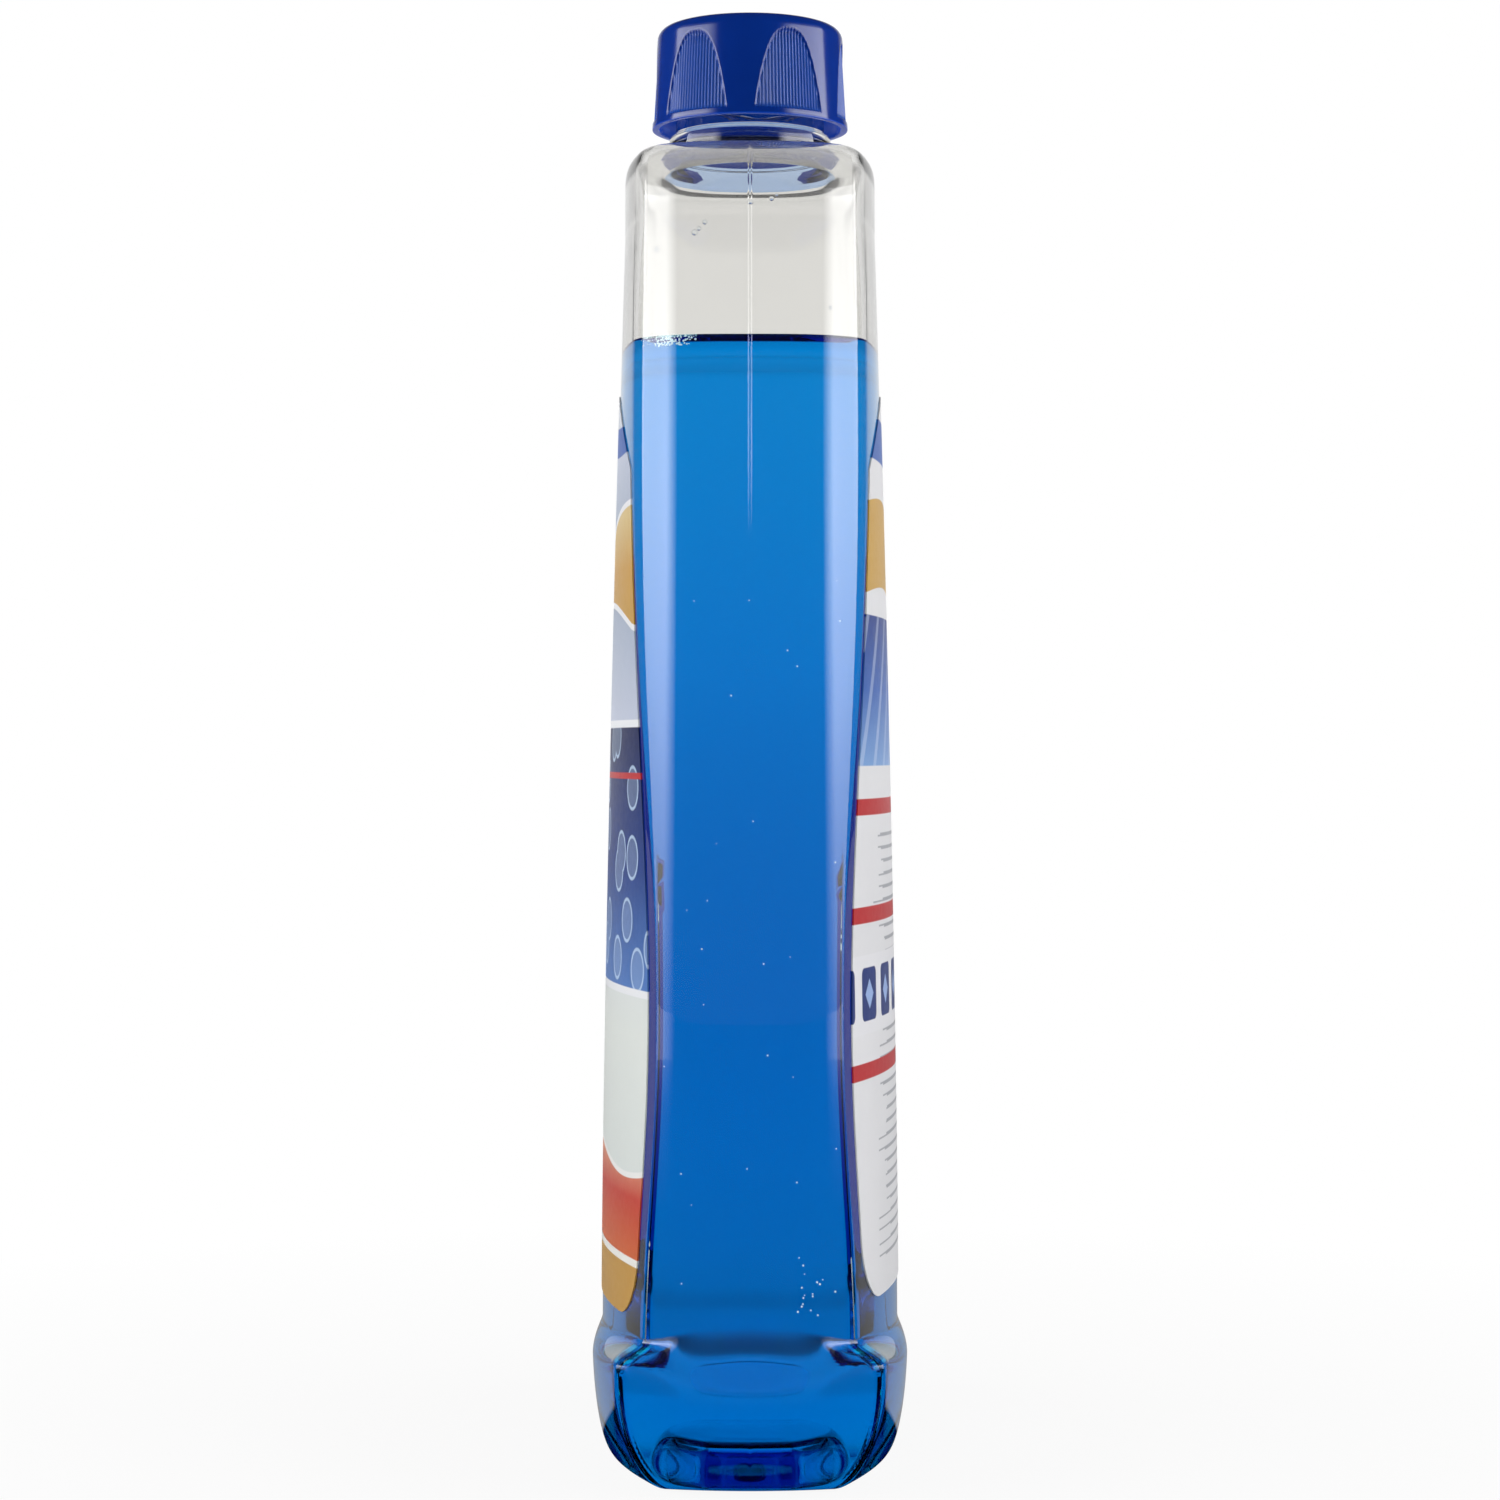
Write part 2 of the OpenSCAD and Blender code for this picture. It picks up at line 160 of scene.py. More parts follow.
class Painter:
    """Builds the node tree of one material or of the world."""

    def __init__(self, tree: bpy.types.NodeTree) -> None:
        """Empties the tree.

        Args:
            tree: The tree to build in.
        """
        self.tree = tree
        tree.nodes.clear()

    def add(self, kind: str, settings: Mapping[str, object],
            inputs: Mapping[Union[str, int], object]) -> bpy.types.Node:
        """Adds a node of any type.

        Args:
            kind: The node's type.
            settings: Its own settings, which are set first; "stops" holds a ramp's stops.
            inputs: A value or a wire for each named or numbered input.

        Returns:
            The new node.
        """
        node = self.tree.nodes.new(kind)
        for name, value in settings.items():
            if name == "stops":
                self._set_stops(node.color_ramp, value)
            else:
                setattr(node, name, value)
        for name, value in inputs.items():
            if isinstance(value, Wire):
                self.tree.links.new(value.socket, node.inputs[name])
            else:
                node.inputs[name].default_value = value
        return node

    @staticmethod
    def _set_stops(ramp: bpy.types.ColorRamp, stops: Sequence[tuple[float, Colour]]) -> None:
        """Gives a colour ramp its stops.

        Args:
            ramp: The ramp, which has two stops when it is new.
            stops: The place from 0 to 1 and the colour of each stop, in order.
        """
        for _ in stops[2:]:
            ramp.elements.new(1.0)
        for element, (place, colour) in zip(ramp.elements, stops):
            element.position = place
            element.color = colour

    def wire(self, kind: str, settings: Mapping[str, object],
             inputs: Mapping[Union[str, int], object], output: Union[str, int] = 0) -> Wire:
        """Adds a node and returns one of its outputs.

        Args:
            kind: The node's type.
            settings: Its own settings.
            inputs: A value or a wire for each input.
            output: The name or number of the wanted output.

        Returns:
            The output as a wire.
        """
        return Wire(self, self.add(kind, settings, inputs).outputs[output])

    def math(self, operation: str, *values: Number) -> Wire:
        """Returns the result of a Math node on numbers and wires."""
        return self.wire("ShaderNodeMath", {"operation": operation}, dict(enumerate(values)))

    def length(self, across: Number, up: Number) -> Wire:
        """Returns the length of a flat vector."""
        return self.math("SQRT", across * across + up * up)

    def blend(self, share: Number, under: Union[Colour, Wire], over: Union[Colour, Wire]) -> Wire:
        """Lays one colour over another.

        Args:
            share: How much of the upper colour shows.
            under: The lower colour.
            over: The upper colour.

        Returns:
            The joined colour.
        """
        return self.wire("ShaderNodeMix", {"data_type": "RGBA"}, {0: share, 6: under, 7: over}, output=2)

    def ramp(self, share: Wire, stops: Sequence[tuple[float, Colour]]) -> Wire:
        """Returns the colour of a ramp at a share from 0 to 1."""
        return self.wire("ShaderNodeValToRGB", {"stops": stops}, {"Fac": share})

    def axes(self, kind: str = "Object") -> tuple[Wire, Wire, Wire]:
        """Returns the three coordinates of one kind in metres."""
        spot = self.wire("ShaderNodeTexCoord", {}, {}, output=kind)
        x, y, z = self.add("ShaderNodeSeparateXYZ", {}, {0: spot}).outputs
        return Wire(self, x), Wire(self, y), Wire(self, z)

    def place(self) -> tuple[Wire, Wire, Wire]:
        """Returns the piece's own coordinates in millimetres."""
        x, y, z = self.axes()
        return x / MM, y / MM, z / MM

    def rays(self) -> tuple[Wire, Wire, Wire]:
        """Returns masks that are 1 for what the camera sees, what is mirrored and what is seen through."""
        node = self.add("ShaderNodeLightPath", {}, {})
        camera, glossy, through = (Wire(self, node.outputs[name])
                                   for name in ("Is Camera Ray", "Is Glossy Ray", "Is Transmission Ray"))
        return camera, glossy, through

    def noise(self, size: float, detail: float = 3.0,
              stretch: tuple[float, float, float] = (1.0, 1.0, 1.0)) -> Wire:
        """Returns a noise from 0 to 1.

        Args:
            size: The size of its blotches in millimetres.
            detail: How many finer octaves it has.
            stretch: How many times longer the blotches are along each axis.

        Returns:
            The noise's value.
        """
        spot = self.wire("ShaderNodeTexCoord", {}, {}, output="Object")
        scale = tuple(1 / (size * MM * longer) for longer in stretch)
        scaled = self.wire("ShaderNodeVectorMath", {"operation": "MULTIPLY"}, {0: spot, 1: scale})
        return self.wire("ShaderNodeTexNoise", {}, {"Vector": scaled, "Scale": 1.0, "Detail": detail})

    def relief(self, height: Wire, depth: float) -> Wire:
        """Returns the normal of a surface with a fine relief.

        Args:
            height: The relief from 0 to 1.
            depth: Its depth in millimetres.

        Returns:
            The changed normal.
        """
        return self.wire("ShaderNodeBump", {}, {"Strength": 1.0, "Distance": depth * MM, "Height": height})

    def join(self, shader: bpy.types.Node, node: bpy.types.Node, socket: Union[str, int]) -> None:
        """Links a shader to a named or numbered input of another node."""
        self.tree.links.new(shader.outputs[0], node.inputs[socket])

    def pair(self, kind: str, share: Union[Wire, None], first: bpy.types.Node,
             second: bpy.types.Node) -> bpy.types.Node:
        """Joins two shaders into one.

        Args:
            kind: The type of the joining node.
            share: How much of the second one shows, or None where both are added up.
            first: The first shader.
            second: The second shader.

        Returns:
            The joined shader.
        """
        both = self.add(kind, {}, {} if share is None else {0: share})
        sockets = [socket for socket in range(len(both.inputs)) if both.inputs[socket].type == "SHADER"]
        for shader, socket in zip((first, second), sockets):
            self.join(shader, both, socket)
        return both

    def finish(self, shader: bpy.types.Node, volume: Union[bpy.types.Node, None] = None,
               output: str = "ShaderNodeOutputMaterial") -> None:
        """Joins a shader, and a volume if there is one, to the tree's output.

        Args:
            shader: The surface shader.
            volume: The volume shader.
            output: The type of the output node.
        """
        end = self.tree.nodes.new(output)
        self.join(shader, end, "Surface")
        if volume is not None:
            self.join(volume, end, "Volume")


def new_material(name: str) -> tuple[bpy.types.Material, Painter]:
    """Returns a new material with an empty tree, and its painter."""
    material = bpy.data.materials.new(name)
    material.use_nodes = True
    return material, Painter(material.node_tree)


def new_object(name: str, data: bpy.types.ID) -> bpy.types.Object:
    """Returns a new object of the scene that shows the data."""
    piece = bpy.data.objects.new(name, data)
    bpy.context.scene.collection.objects.link(piece)
    return piece


def staged(name: str, points: Sequence[Sequence[float]], faces: Sequence[tuple[int, ...]],
           material: bpy.types.Material) -> bpy.types.Object:
    """Makes a plain mesh of the studio, which isn't part of the bottle.

    Args:
        name: The name of the mesh and its object.
        points: The points in metres.
        faces: The faces.
        material: The finish.

    Returns:
        The object.
    """
    mesh = bpy.data.meshes.new(name)
    mesh.from_pydata(points, [], faces)
    mesh.materials.append(material)
    panel = new_object(name, mesh)
    return panel


@dataclass(frozen=True)
class ClearPlastic:
    """Clear blown plastic: glossy, slightly wavy, with the faintest grey."""

    tint: Colour = (0.86, 0.855, 0.835, 1.0)
    refraction: float = 1.57
    wave_size: float = 14.0
    wave_depth: float = 0.012
    wetted: bool = False
    name: str = "clear_plastic"

    def material(self) -> bpy.types.Material:
        """Builds the plastic; where liquid wets its inside, that side hardly mirrors.

        Returns:
            The material.
        """
        material, paint = new_material(self.name)
        waves = paint.noise(self.wave_size, 2.0, (1.0, 1.0, 2.5))
        mirror = (0.0, 0.0, 0.0, 1.0) if self.wetted else (1.0, 1.0, 1.0, 1.0)
        paint.finish(paint.add("ShaderNodeBsdfPrincipled", {}, {
            "Base Color": (1.0, 1.0, 1.0, 1.0) if self.wetted else self.tint, "Roughness": 0.0,
            "IOR": self.refraction, "Transmission Weight": 1.0, "Specular Tint": mirror,
            "Normal": paint.relief(waves, self.wave_depth)}))
        return material


@dataclass(frozen=True)
class BlueCleaner:
    """The blue liquid: clear, and coloured by how far the light goes through it."""

    passed: Colour = (0.0, 0.965, 0.993, 1.0)
    density: float = 500.0
    refraction: float = 1.33
    free: bool = False

    def material(self) -> bpy.types.Material:
        """Builds the liquid; it mirrors at its free surface and hardly where the wall is against it.

        Returns:
            The material.
        """
        material, paint = new_material("blue_liquid_surface" if self.free else "blue_liquid")
        mirror = (1.0, 1.0, 1.0, 1.0) if self.free else (0.25, 0.25, 0.25, 1.0)
        surface = paint.add("ShaderNodeBsdfPrincipled", {}, {
            "Base Color": (1.0, 1.0, 1.0, 1.0), "Roughness": 0.0, "IOR": self.refraction,
            "Transmission Weight": 1.0, "Specular Tint": mirror})
        volume = paint.add("ShaderNodeVolumeAbsorption", {},
                           {"Color": self.passed, "Density": self.density})
        paint.finish(surface, volume)
        return material


@dataclass(frozen=True)
class CapPlastic:
    """Semi-gloss moulded blue plastic with a fine grain."""

    body: Colour = rgb(0, 50, 148)
    deep: Colour = rgb(0, 42, 134)
    # Paler blue of the ribbed fields: a painted sheen standing in for the softboxes' light that the ribs
    # scatter.
    ribbed: Colour = rgb(26, 76, 172)
    gloss: float = 0.1
    grain: float = 0.003
    # Strength of a painted glow in the plastic's own colour, standing in for light that reaches it; nought on
    # the outside.
    painted_glow: float = 0.0
    name: str = "blue_cap"

    def material(self) -> bpy.types.Material:
        """Builds the plastic: clouded colour, uneven gloss and grain, a painted sheen that makes the ribbed
        fields paler, and a painted glow where its strength is set.

        Returns:
            The material.
        """
        material, paint = new_material(self.name)
        clouds = paint.noise(9.0)
        grains = paint.noise(0.35, 2.0)
        fields = self.fields(paint)
        # In the fields the colour turns to the paler ribbed blue, a painted sheen; their roughness rises with
        # it.
        colour = paint.blend(fields, paint.blend(clouds, self.deep, self.body), self.ribbed)
        paint.finish(paint.add("ShaderNodeBsdfPrincipled", {}, {
            "Base Color": colour, "Roughness": clouds * 0.08 + self.gloss + fields * 0.2, "IOR": 1.5,
            # Painted glow, set only for the cap's inside.
            "Emission Color": colour, "Emission Strength": self.painted_glow,
            "Normal": paint.relief(grains, self.grain)}))
        return material

    @staticmethod
    def fields(paint: Painter) -> Wire:
        """Finds the ribbed fields of the cap, which are worked finer and rougher and get a painted sheen that
        makes them paler.

        Args:
            paint: The painter of the cap's material.

        Returns:
            A mask that is 1 in the fields.
        """
        shape = ScrewCap()
        x, y, z = paint.place()
        turn = (paint.math("ARCTAN2", y, x) * (180 / math.pi) - shape.field_turn).repeated(360 / shape.fields)
        aside = turn.absolute() * (math.pi / 180) * (shape.outer_d / shape.field_w)
        head = 1 - paint.math("POWER", aside, shape.arch_power)
        up = (z - shape.rim_z - shape.lip_h) / shape.field_h
        outer = paint.length(x, y).above(shape.mouth_wall + shape.bore_r, 0.2)
        return (head - up).above(0.03, 0.04) * up.above(0.01, 0.02) * outer


@dataclass(frozen=True)
class FoamWad:
    """White foamed plastic of the sealing wad."""

    body: Colour = (0.82, 0.82, 0.79, 1.0)
    shade: Colour = (0.7, 0.7, 0.67, 1.0)

    def material(self) -> bpy.types.Material:
        """Builds the foam with its fine pores.

        Returns:
            The material.
        """
        material, paint = new_material("white_liner")
        pores = paint.noise(0.5)
        paint.finish(paint.add("ShaderNodeBsdfPrincipled", {}, {
            "Base Color": paint.blend(pores, self.shade, self.body), "Roughness": 0.7,
            "Normal": paint.relief(pores, 0.03)}))
        return material


@dataclass(frozen=True)
class Tile:
    """A filled shape with round corners on a label, in millimetres."""

    across: float
    up: float
    half_w: float
    half_h: float
    corner: float

    def mask(self, paint: Painter, across: Wire, up: Wire, soft: float = 0.15) -> Wire:
        """Draws the shape.

        Args:
            paint: The painter of the label's material.
            across: The place across the label.
            up: The height on the label.
            soft: The width of the shape's edge.

        Returns:
            A mask that is 1 inside the shape.
        """
        beside = (across - self.across).absolute() - (self.half_w - self.corner)
        over = (up - self.up).absolute() - (self.half_h - self.corner)
        outside = paint.length(paint.math("MAXIMUM", beside, 0.0), paint.math("MAXIMUM", over, 0.0))
        within = paint.math("MINIMUM", paint.math("MAXIMUM", beside, over), 0.0)
        return (outside + within).below(self.corner, soft)


@dataclass(frozen=True)
class PrintedFilm:
    """Glossy printed film; each label's own print is a subclass of it."""

    name: str = "printed_film"
    gloss: float = 0.3
    edge_soft: float = 0.15

    def artwork(self, paint: Painter, across: Wire, up: Wire) -> Wire:
        """Returns the colour of plain white film."""
        return paint.blend(paint.noise(6.0), rgb(232, 233, 235), rgb(240, 240, 242))

    def material(self) -> bpy.types.Material:
        """Builds the film: its print, a varnish and the faint waves of a label laid on plastic.

        Returns:
            The material.
        """
        material, paint = new_material(self.name)
        across, _, up = paint.place()
        waves = paint.noise(7.0, 2.0)
        worn = paint.noise(1.2, 4.0)
        colour = self.artwork(paint, across, up)
        paint.finish(paint.add("ShaderNodeBsdfPrincipled", {}, {
            "Base Color": colour, "Roughness": worn * 0.12 + self.gloss, "IOR": 1.5,
            "Specular IOR Level": 0.25, "Normal": paint.relief(waves, 0.02)}))
        return material


@dataclass(frozen=True)
class GlueSidePaintedGlow:
    """The side of a label that is stuck to the bottle, seen through the liquid: its blue and its glow are
    painted light, standing in for the liquid's light that falls on it.
    """

    # Two blues of the painted glow, mixed by a noise, and the strength of that painted glow.
    shade: Colour = (0.008, 0.05, 0.3, 1.0)
    lit: Colour = (0.012, 0.07, 0.37, 1.0)
    glow: float = 0.9

    def material(self) -> bpy.types.Material:
        """Builds the clouded layer of glue, coloured and lit by a painted blue glow.

        Returns:
            The material.
        """
        material, paint = new_material("label_glue_painted_glow")
        colour = paint.blend(paint.noise(4.0), self.shade, self.lit)
        paint.finish(paint.add("ShaderNodeBsdfPrincipled", {}, {
            "Base Color": colour, "Roughness": 0.6, "Specular IOR Level": 0.1,
            # Painted glow: the glue shines in its own blue, standing in for the liquid's light.
            "Emission Color": colour, "Emission Strength": self.glow}))
        return material


@dataclass(frozen=True)
class FrontPrint(PrintedFilm):
    """A generic front: a pale lilac sky, an amber ribbon, a navy window with bubbles and a warm foot."""

    name: str = "front_print"
    window: Tile = Tile(0.0, 99.5, 60.0, 20.6, 0.5)
    white_edge: float = 1.2
    ribbon_up: float = 145.0
    ribbon_half: float = 9.5
    thin_up: float = 168.3
    thin_half: float = 2.4
    ring_gap: float = 11.0
    ring_r: float = 0.3
    red_up: float = 112.4
    wave_up: float = 50.5
    amber_up: float = 35.4

    def artwork(self, paint: Painter, across: Wire, up: Wire) -> Wire:
        """Paints the label from its ground up.

        Args:
            paint: The painter of the material.
            across: The place across the label.
            up: The height on the label.

        Returns:
            The label's colour.
        """
        soft = self.edge_soft
        ground = paint.ramp((up - 27) / 149, [
            (0.0, rgb(214, 222, 220)), (0.3, rgb(225, 230, 226)), (0.62, rgb(196, 203, 222)),
            (0.8, rgb(151, 166, 187)), (0.93, rgb(195, 202, 220)), (1.0, rgb(226, 229, 232))])
        swell = (across / 13).sine()
        middle = 1 - (across / 34).absolute().clamped()
        ribbon_half = self.ribbon_half - middle * 5.5
        ribbon_line = swell * 2.2 + self.ribbon_up
        from_ribbon = (up - ribbon_line).absolute()
        amber = paint.ramp(((up - 133) / 21).clamped(), [
            (0.0, rgb(193, 150, 66)), (0.6, rgb(199, 152, 70)), (1.0, rgb(214, 188, 130))])
        colour = paint.blend(from_ribbon.below(ribbon_half + 1, soft), ground, rgb(236, 236, 240))
        colour = paint.blend(from_ribbon.below(ribbon_half, soft), colour, amber)
        thin_line = (up - (swell * -1.6 + self.thin_up)).absolute()
        colour = paint.blend(thin_line.below(self.thin_half, soft), colour, rgb(46, 92, 176))
        return self._foot(paint, self._window(paint, colour, across, up), across, up)

    def _window(self, paint: Painter, under: Wire, across: Wire, up: Wire) -> Wire:
        """Lays the navy window with its bubbles and its thin red line over the ground.

        Args:
            paint: The painter of the material.
            under: The colour so far.
            across: The place across the label.
            up: The height on the label.

        Returns:
            The colour with the window.
        """
        edged = replace(self.window, half_h=self.window.half_h + self.white_edge)
        navy = paint.ramp(((up - 79) / 41).clamped(), [
            (0.0, rgb(74, 120, 190)), (0.45, rgb(30, 62, 134)), (1.0, rgb(14, 30, 84))])
        spot = paint.wire("ShaderNodeCombineXYZ", {},
                          {0: across / self.ring_gap, 1: up / self.ring_gap, 2: 0.37})
        cells = paint.wire("ShaderNodeTexVoronoi", {"voronoi_dimensions": "2D"},
                           {"Vector": spot, "Scale": 1.0, "Randomness": 0.85}, output="Distance")
        rim = (cells - self.ring_r).absolute().below(0.025, 0.02)
        inner = cells.below(self.ring_r, 0.02) * 0.25
        bubbles = paint.math("MAXIMUM", rim, inner)
        glass = paint.blend(bubbles * 0.8, navy, rgb(190, 214, 240))
        line = (up - self.red_up).absolute().below(0.5, self.edge_soft)
        glass = paint.blend(line, glass, rgb(190, 44, 48))
        framed = paint.blend(edged.mask(paint, across, up), under, rgb(236, 238, 242))
        return paint.blend(self.window.mask(paint, across, up), framed, glass)

    def _foot(self, paint: Painter, under: Wire, across: Wire, up: Wire) -> Wire:
        """Lays the warm wave and the amber band over the label's foot.

        Args:
            paint: The painter of the material.
            under: The colour so far.
            across: The place across the label.
            up: The height on the label.

        Returns:
            The finished colour.
        """
        soft = self.edge_soft
        crest = (across / 9 + 1.0).sine() * 1.6 + self.wave_up
        warm = paint.ramp(((up - 37) / 15).clamped(), [
            (0.0, rgb(206, 96, 44)), (0.6, rgb(196, 58, 40)), (1.0, rgb(222, 150, 120))])
        colour = paint.blend(up.below(crest + 0.9, soft), under, rgb(238, 238, 236))
        colour = paint.blend(up.below(crest, soft), colour, warm)
        colour = paint.blend(up.below(self.amber_up + self.white_edge, soft), colour, rgb(238, 236, 230))
        return paint.blend(up.below(self.amber_up, soft), colour, rgb(194, 147, 65))


@dataclass(frozen=True)
class BackPrint(PrintedFilm):
    """A generic back: white with coloured bars, a row of plain tiles and fine grey rules."""

    name: str = "back_print"
    bars: tuple[float, ...] = (107.5, 90.5, 66.0)
    bar_half: float = 1.3
    panel: Tile = Tile(0.0, 126.0, 60.0, 12.0, 0.5)
    rule_gap: float = 2.1
    tile: Tile = Tile(0.0, 78.0, 4.2, 4.2, 1.2)
    tile_gap: float = 12.0
    tile_room: float = 6.2
    rhomb_half: float = 2.4
    wave_up: float = 148.3
    wave_half: float = 7.2
    band_up: float = 167.0
    band_half: float = 3.6

    def artwork(self, paint: Painter, across: Wire, up: Wire) -> Wire:
        """Paints the label from its ground up.

        Args:
            paint: The painter of the material.
            across: The place across the label.
            up: The height on the label.

        Returns:
            The label's colour.
        """
        soft = self.edge_soft
        colour = paint.blend(paint.noise(20.0), rgb(220, 220, 223), rgb(230, 230, 233))
        row = paint.math("FLOOR", up / self.rule_gap)
        ragged = paint.wire("ShaderNodeTexWhiteNoise", {"noise_dimensions": "1D"}, {"W": row})
        rules = up.repeated(self.rule_gap).absolute().below(0.28, soft)
        rules = rules * across.above(-34.0, soft) * across.below(ragged * 12 + 22, soft)
        rules = rules * up.below(104.0, soft) * up.above(34.0, soft)
        colour = paint.blend(rules * 0.75, colour, rgb(128, 132, 142))
        in_tile, from_row = across.repeated(self.tile_gap), (up - self.tile.up).absolute()
        colour = paint.blend(from_row.below(self.tile_room, soft), colour, rgb(228, 228, 232))
        colour = paint.blend(self.tile.mask(paint, in_tile, up), colour, rgb(28, 52, 120))
        rhombs = (in_tile.absolute() + from_row).below(self.rhomb_half, soft)
        colour = paint.blend(rhombs, colour, rgb(150, 176, 222))
        for height in self.bars:
            bar = (up - height).absolute().below(self.bar_half, soft)
            colour = paint.blend(bar, colour, rgb(186, 40, 44))
        return self._head(paint, colour, across, up)

    def _head(self, paint: Painter, under: Wire, across: Wire, up: Wire) -> Wire:
        """Lays the blue panel, the amber wave and the blue band over the upper half.

        Args:
            paint: The painter of the material.
            under: The colour so far.
            across: The place across the label.
            up: The height on the label.

        Returns:
            The finished colour.
        """
        soft = self.edge_soft
        blue = paint.ramp(((up - 114) / 24).clamped(), [
            (0.0, rgb(120, 160, 214)), (0.5, rgb(52, 98, 178)), (1.0, rgb(26, 58, 136))])
        inside = self.panel.mask(paint, across, up)
        colour = paint.blend(inside, under, blue)
        stripes = (across + up * 0.6).repeated(9.0).absolute().below(1.1, soft)
        colour = paint.blend(stripes * inside * 0.3, colour, rgb(214, 226, 244))
        wave = (up - ((across / 12).sine() * 1.8 + self.wave_up)).absolute()
        colour = paint.blend(wave.below(self.wave_half, soft), colour, rgb(200, 158, 76))
        band = (up - self.band_up).absolute()
        return paint.blend(band.below(self.band_half, soft), colour, rgb(50, 96, 178))


class Form:
    """A mesh under construction: points in millimetres and faces, each with a finish."""

    def __init__(self) -> None:
        """Starts empty."""
        self.points: list[np.ndarray] = []
        self.faces: list[tuple[int, ...]] = []
        self.finishes: list[int] = []
        self.count = 0

    def add(self, points: np.ndarray, faces: Sequence[tuple[int, ...]], finish: int = 0) -> None:
        """Adds points, and faces that number them from 0.

        Args:
            points: The new points.
            faces: The new faces.
            finish: The number of their finish.
        """
        moved = [tuple(corner + self.count for corner in face) for face in faces]
        self.points.append(points)
        self.faces += moved
        self.finishes += [finish] * len(moved)
        self.count += len(points)

    def loft(self, loops: Sequence[Loop], finishes: Union[Sequence[int], None] = None) -> None:
        """Adds a closed skin through loops of equal length, with a flat fan at each end.

        Args:
            loops: The loops in order.
            finishes: The finish of the strip after each loop, or None for the first finish.
        """
        many = len(loops[0])
        first_centre = len(loops) * many
        last = (len(loops) - 1) * many
        centres = [loops[0].mean(0), loops[-1].mean(0)]
        start = len(self.faces)
        fan = [(first_centre, i, (i + 1) % many) for i in range(many)]
        strips = [(k * many + i, (k + 1) * many + i, (k + 1) * many + (i + 1) % many,
                   k * many + (i + 1) % many) for k in range(len(loops) - 1) for i in range(many)]
        end = [(first_centre + 1, last + (i + 1) % many, last + i) for i in range(many)]
        self.add(np.concatenate([*loops, np.array(centres)]), fan + strips + end)
        if finishes is not None:
            each = [finish for finish in finishes for _ in range(many)]
            self.finishes[start:] = each[:many] + each + each[-many:]

    def volume(self) -> float:
        """Returns the volume inside the faces in cubic millimetres, less than 0 if they look inwards."""
        points = np.concatenate(self.points)
        corners = np.array([(face[0], a, b) for face in self.faces for a, b in zip(face[1:-1], face[2:])])
        first, second, third = (points[corners[:, k]] for k in range(3))
        return float(np.einsum("ij,ij->", first, np.cross(second, third))) / 6

    def piece(self, name: str, materials: Sequence[bpy.types.Material],
              crisp: float = 180.0) -> bpy.types.Object:
        """Makes the mesh object, smooth but for edges sharper than an angle.

        Args:
            name: The piece's name.
            materials: The finishes in the order of their numbers.
            crisp: The angle in degrees from which an edge stays sharp.

        Returns:
            The object, which sits at the origin.
        """
        mesh = bpy.data.meshes.new(name)
        order = 1 if self.volume() > 0 else -1
        faces = [face[::order] for face in self.faces]
        mesh.from_pydata((np.concatenate(self.points) * MM).tolist(), [], faces)
        for material in materials:
            mesh.materials.append(material)
        mesh.polygons.foreach_set("material_index", self.finishes)
        mesh.polygons.foreach_set("use_smooth", [True] * len(faces))
        if crisp < 180:
            mesh.set_sharp_from_angle(angle=math.radians(crisp))
        mesh.validate()
        mesh.update()
        return new_object(name, mesh)


def circle(radius: Union[float, np.ndarray], height: float, many: int) -> Loop:
    """Returns a level circle about the Z axis that starts on +Y and turns towards +X.

    Args:
        radius: The radius, or one for each point.
        height: The height of the circle.
        many: The number of points.

    Returns:
        The points.
    """
    turn = np.arange(many) * 2 * math.pi / many
    return np.stack([radius * np.sin(turn), radius * np.cos(turn), np.full(many, height)], axis=1)


@dataclass(frozen=True)
class Thread:
    """A screw ridge round the Z axis, in millimetres."""

    wall_r: float
    crest_r: float
    root_w: float
    crest_w: float
    start: float
    pitch: float = 4.23
    turns: float = 1.5
    runout: float = 24.0

    def relief(self, height: float, many: int) -> np.ndarray:
        """Works out how far the ridge stands out of the wall around one circle.

        Args:
            height: The height of the circle.
            many: The number of points of the circle.

        Returns:
            The radius to add at each point, which is less than 0 for a thread inside a bore.
        """
        around = np.degrees(np.arctan2(*circle(1.0, 0.0, many)[:, 1::-1].T)) % 360
        total = np.zeros(many)
        for whole in range(math.ceil(self.turns)):
            turned = around + 360 * whole
            away = np.abs(height - self.start - self.pitch * turned / 360)
            flank = np.clip((self.root_w / 2 - away) / ((self.root_w - self.crest_w) / 2), 0, 1)
            left = 360 * self.turns - turned
            grown = ease(np.minimum(turned, left) / self.runout)
            total = np.maximum(total, flank * grown * (left > 0))
        return total * (self.crest_r - self.wall_r)


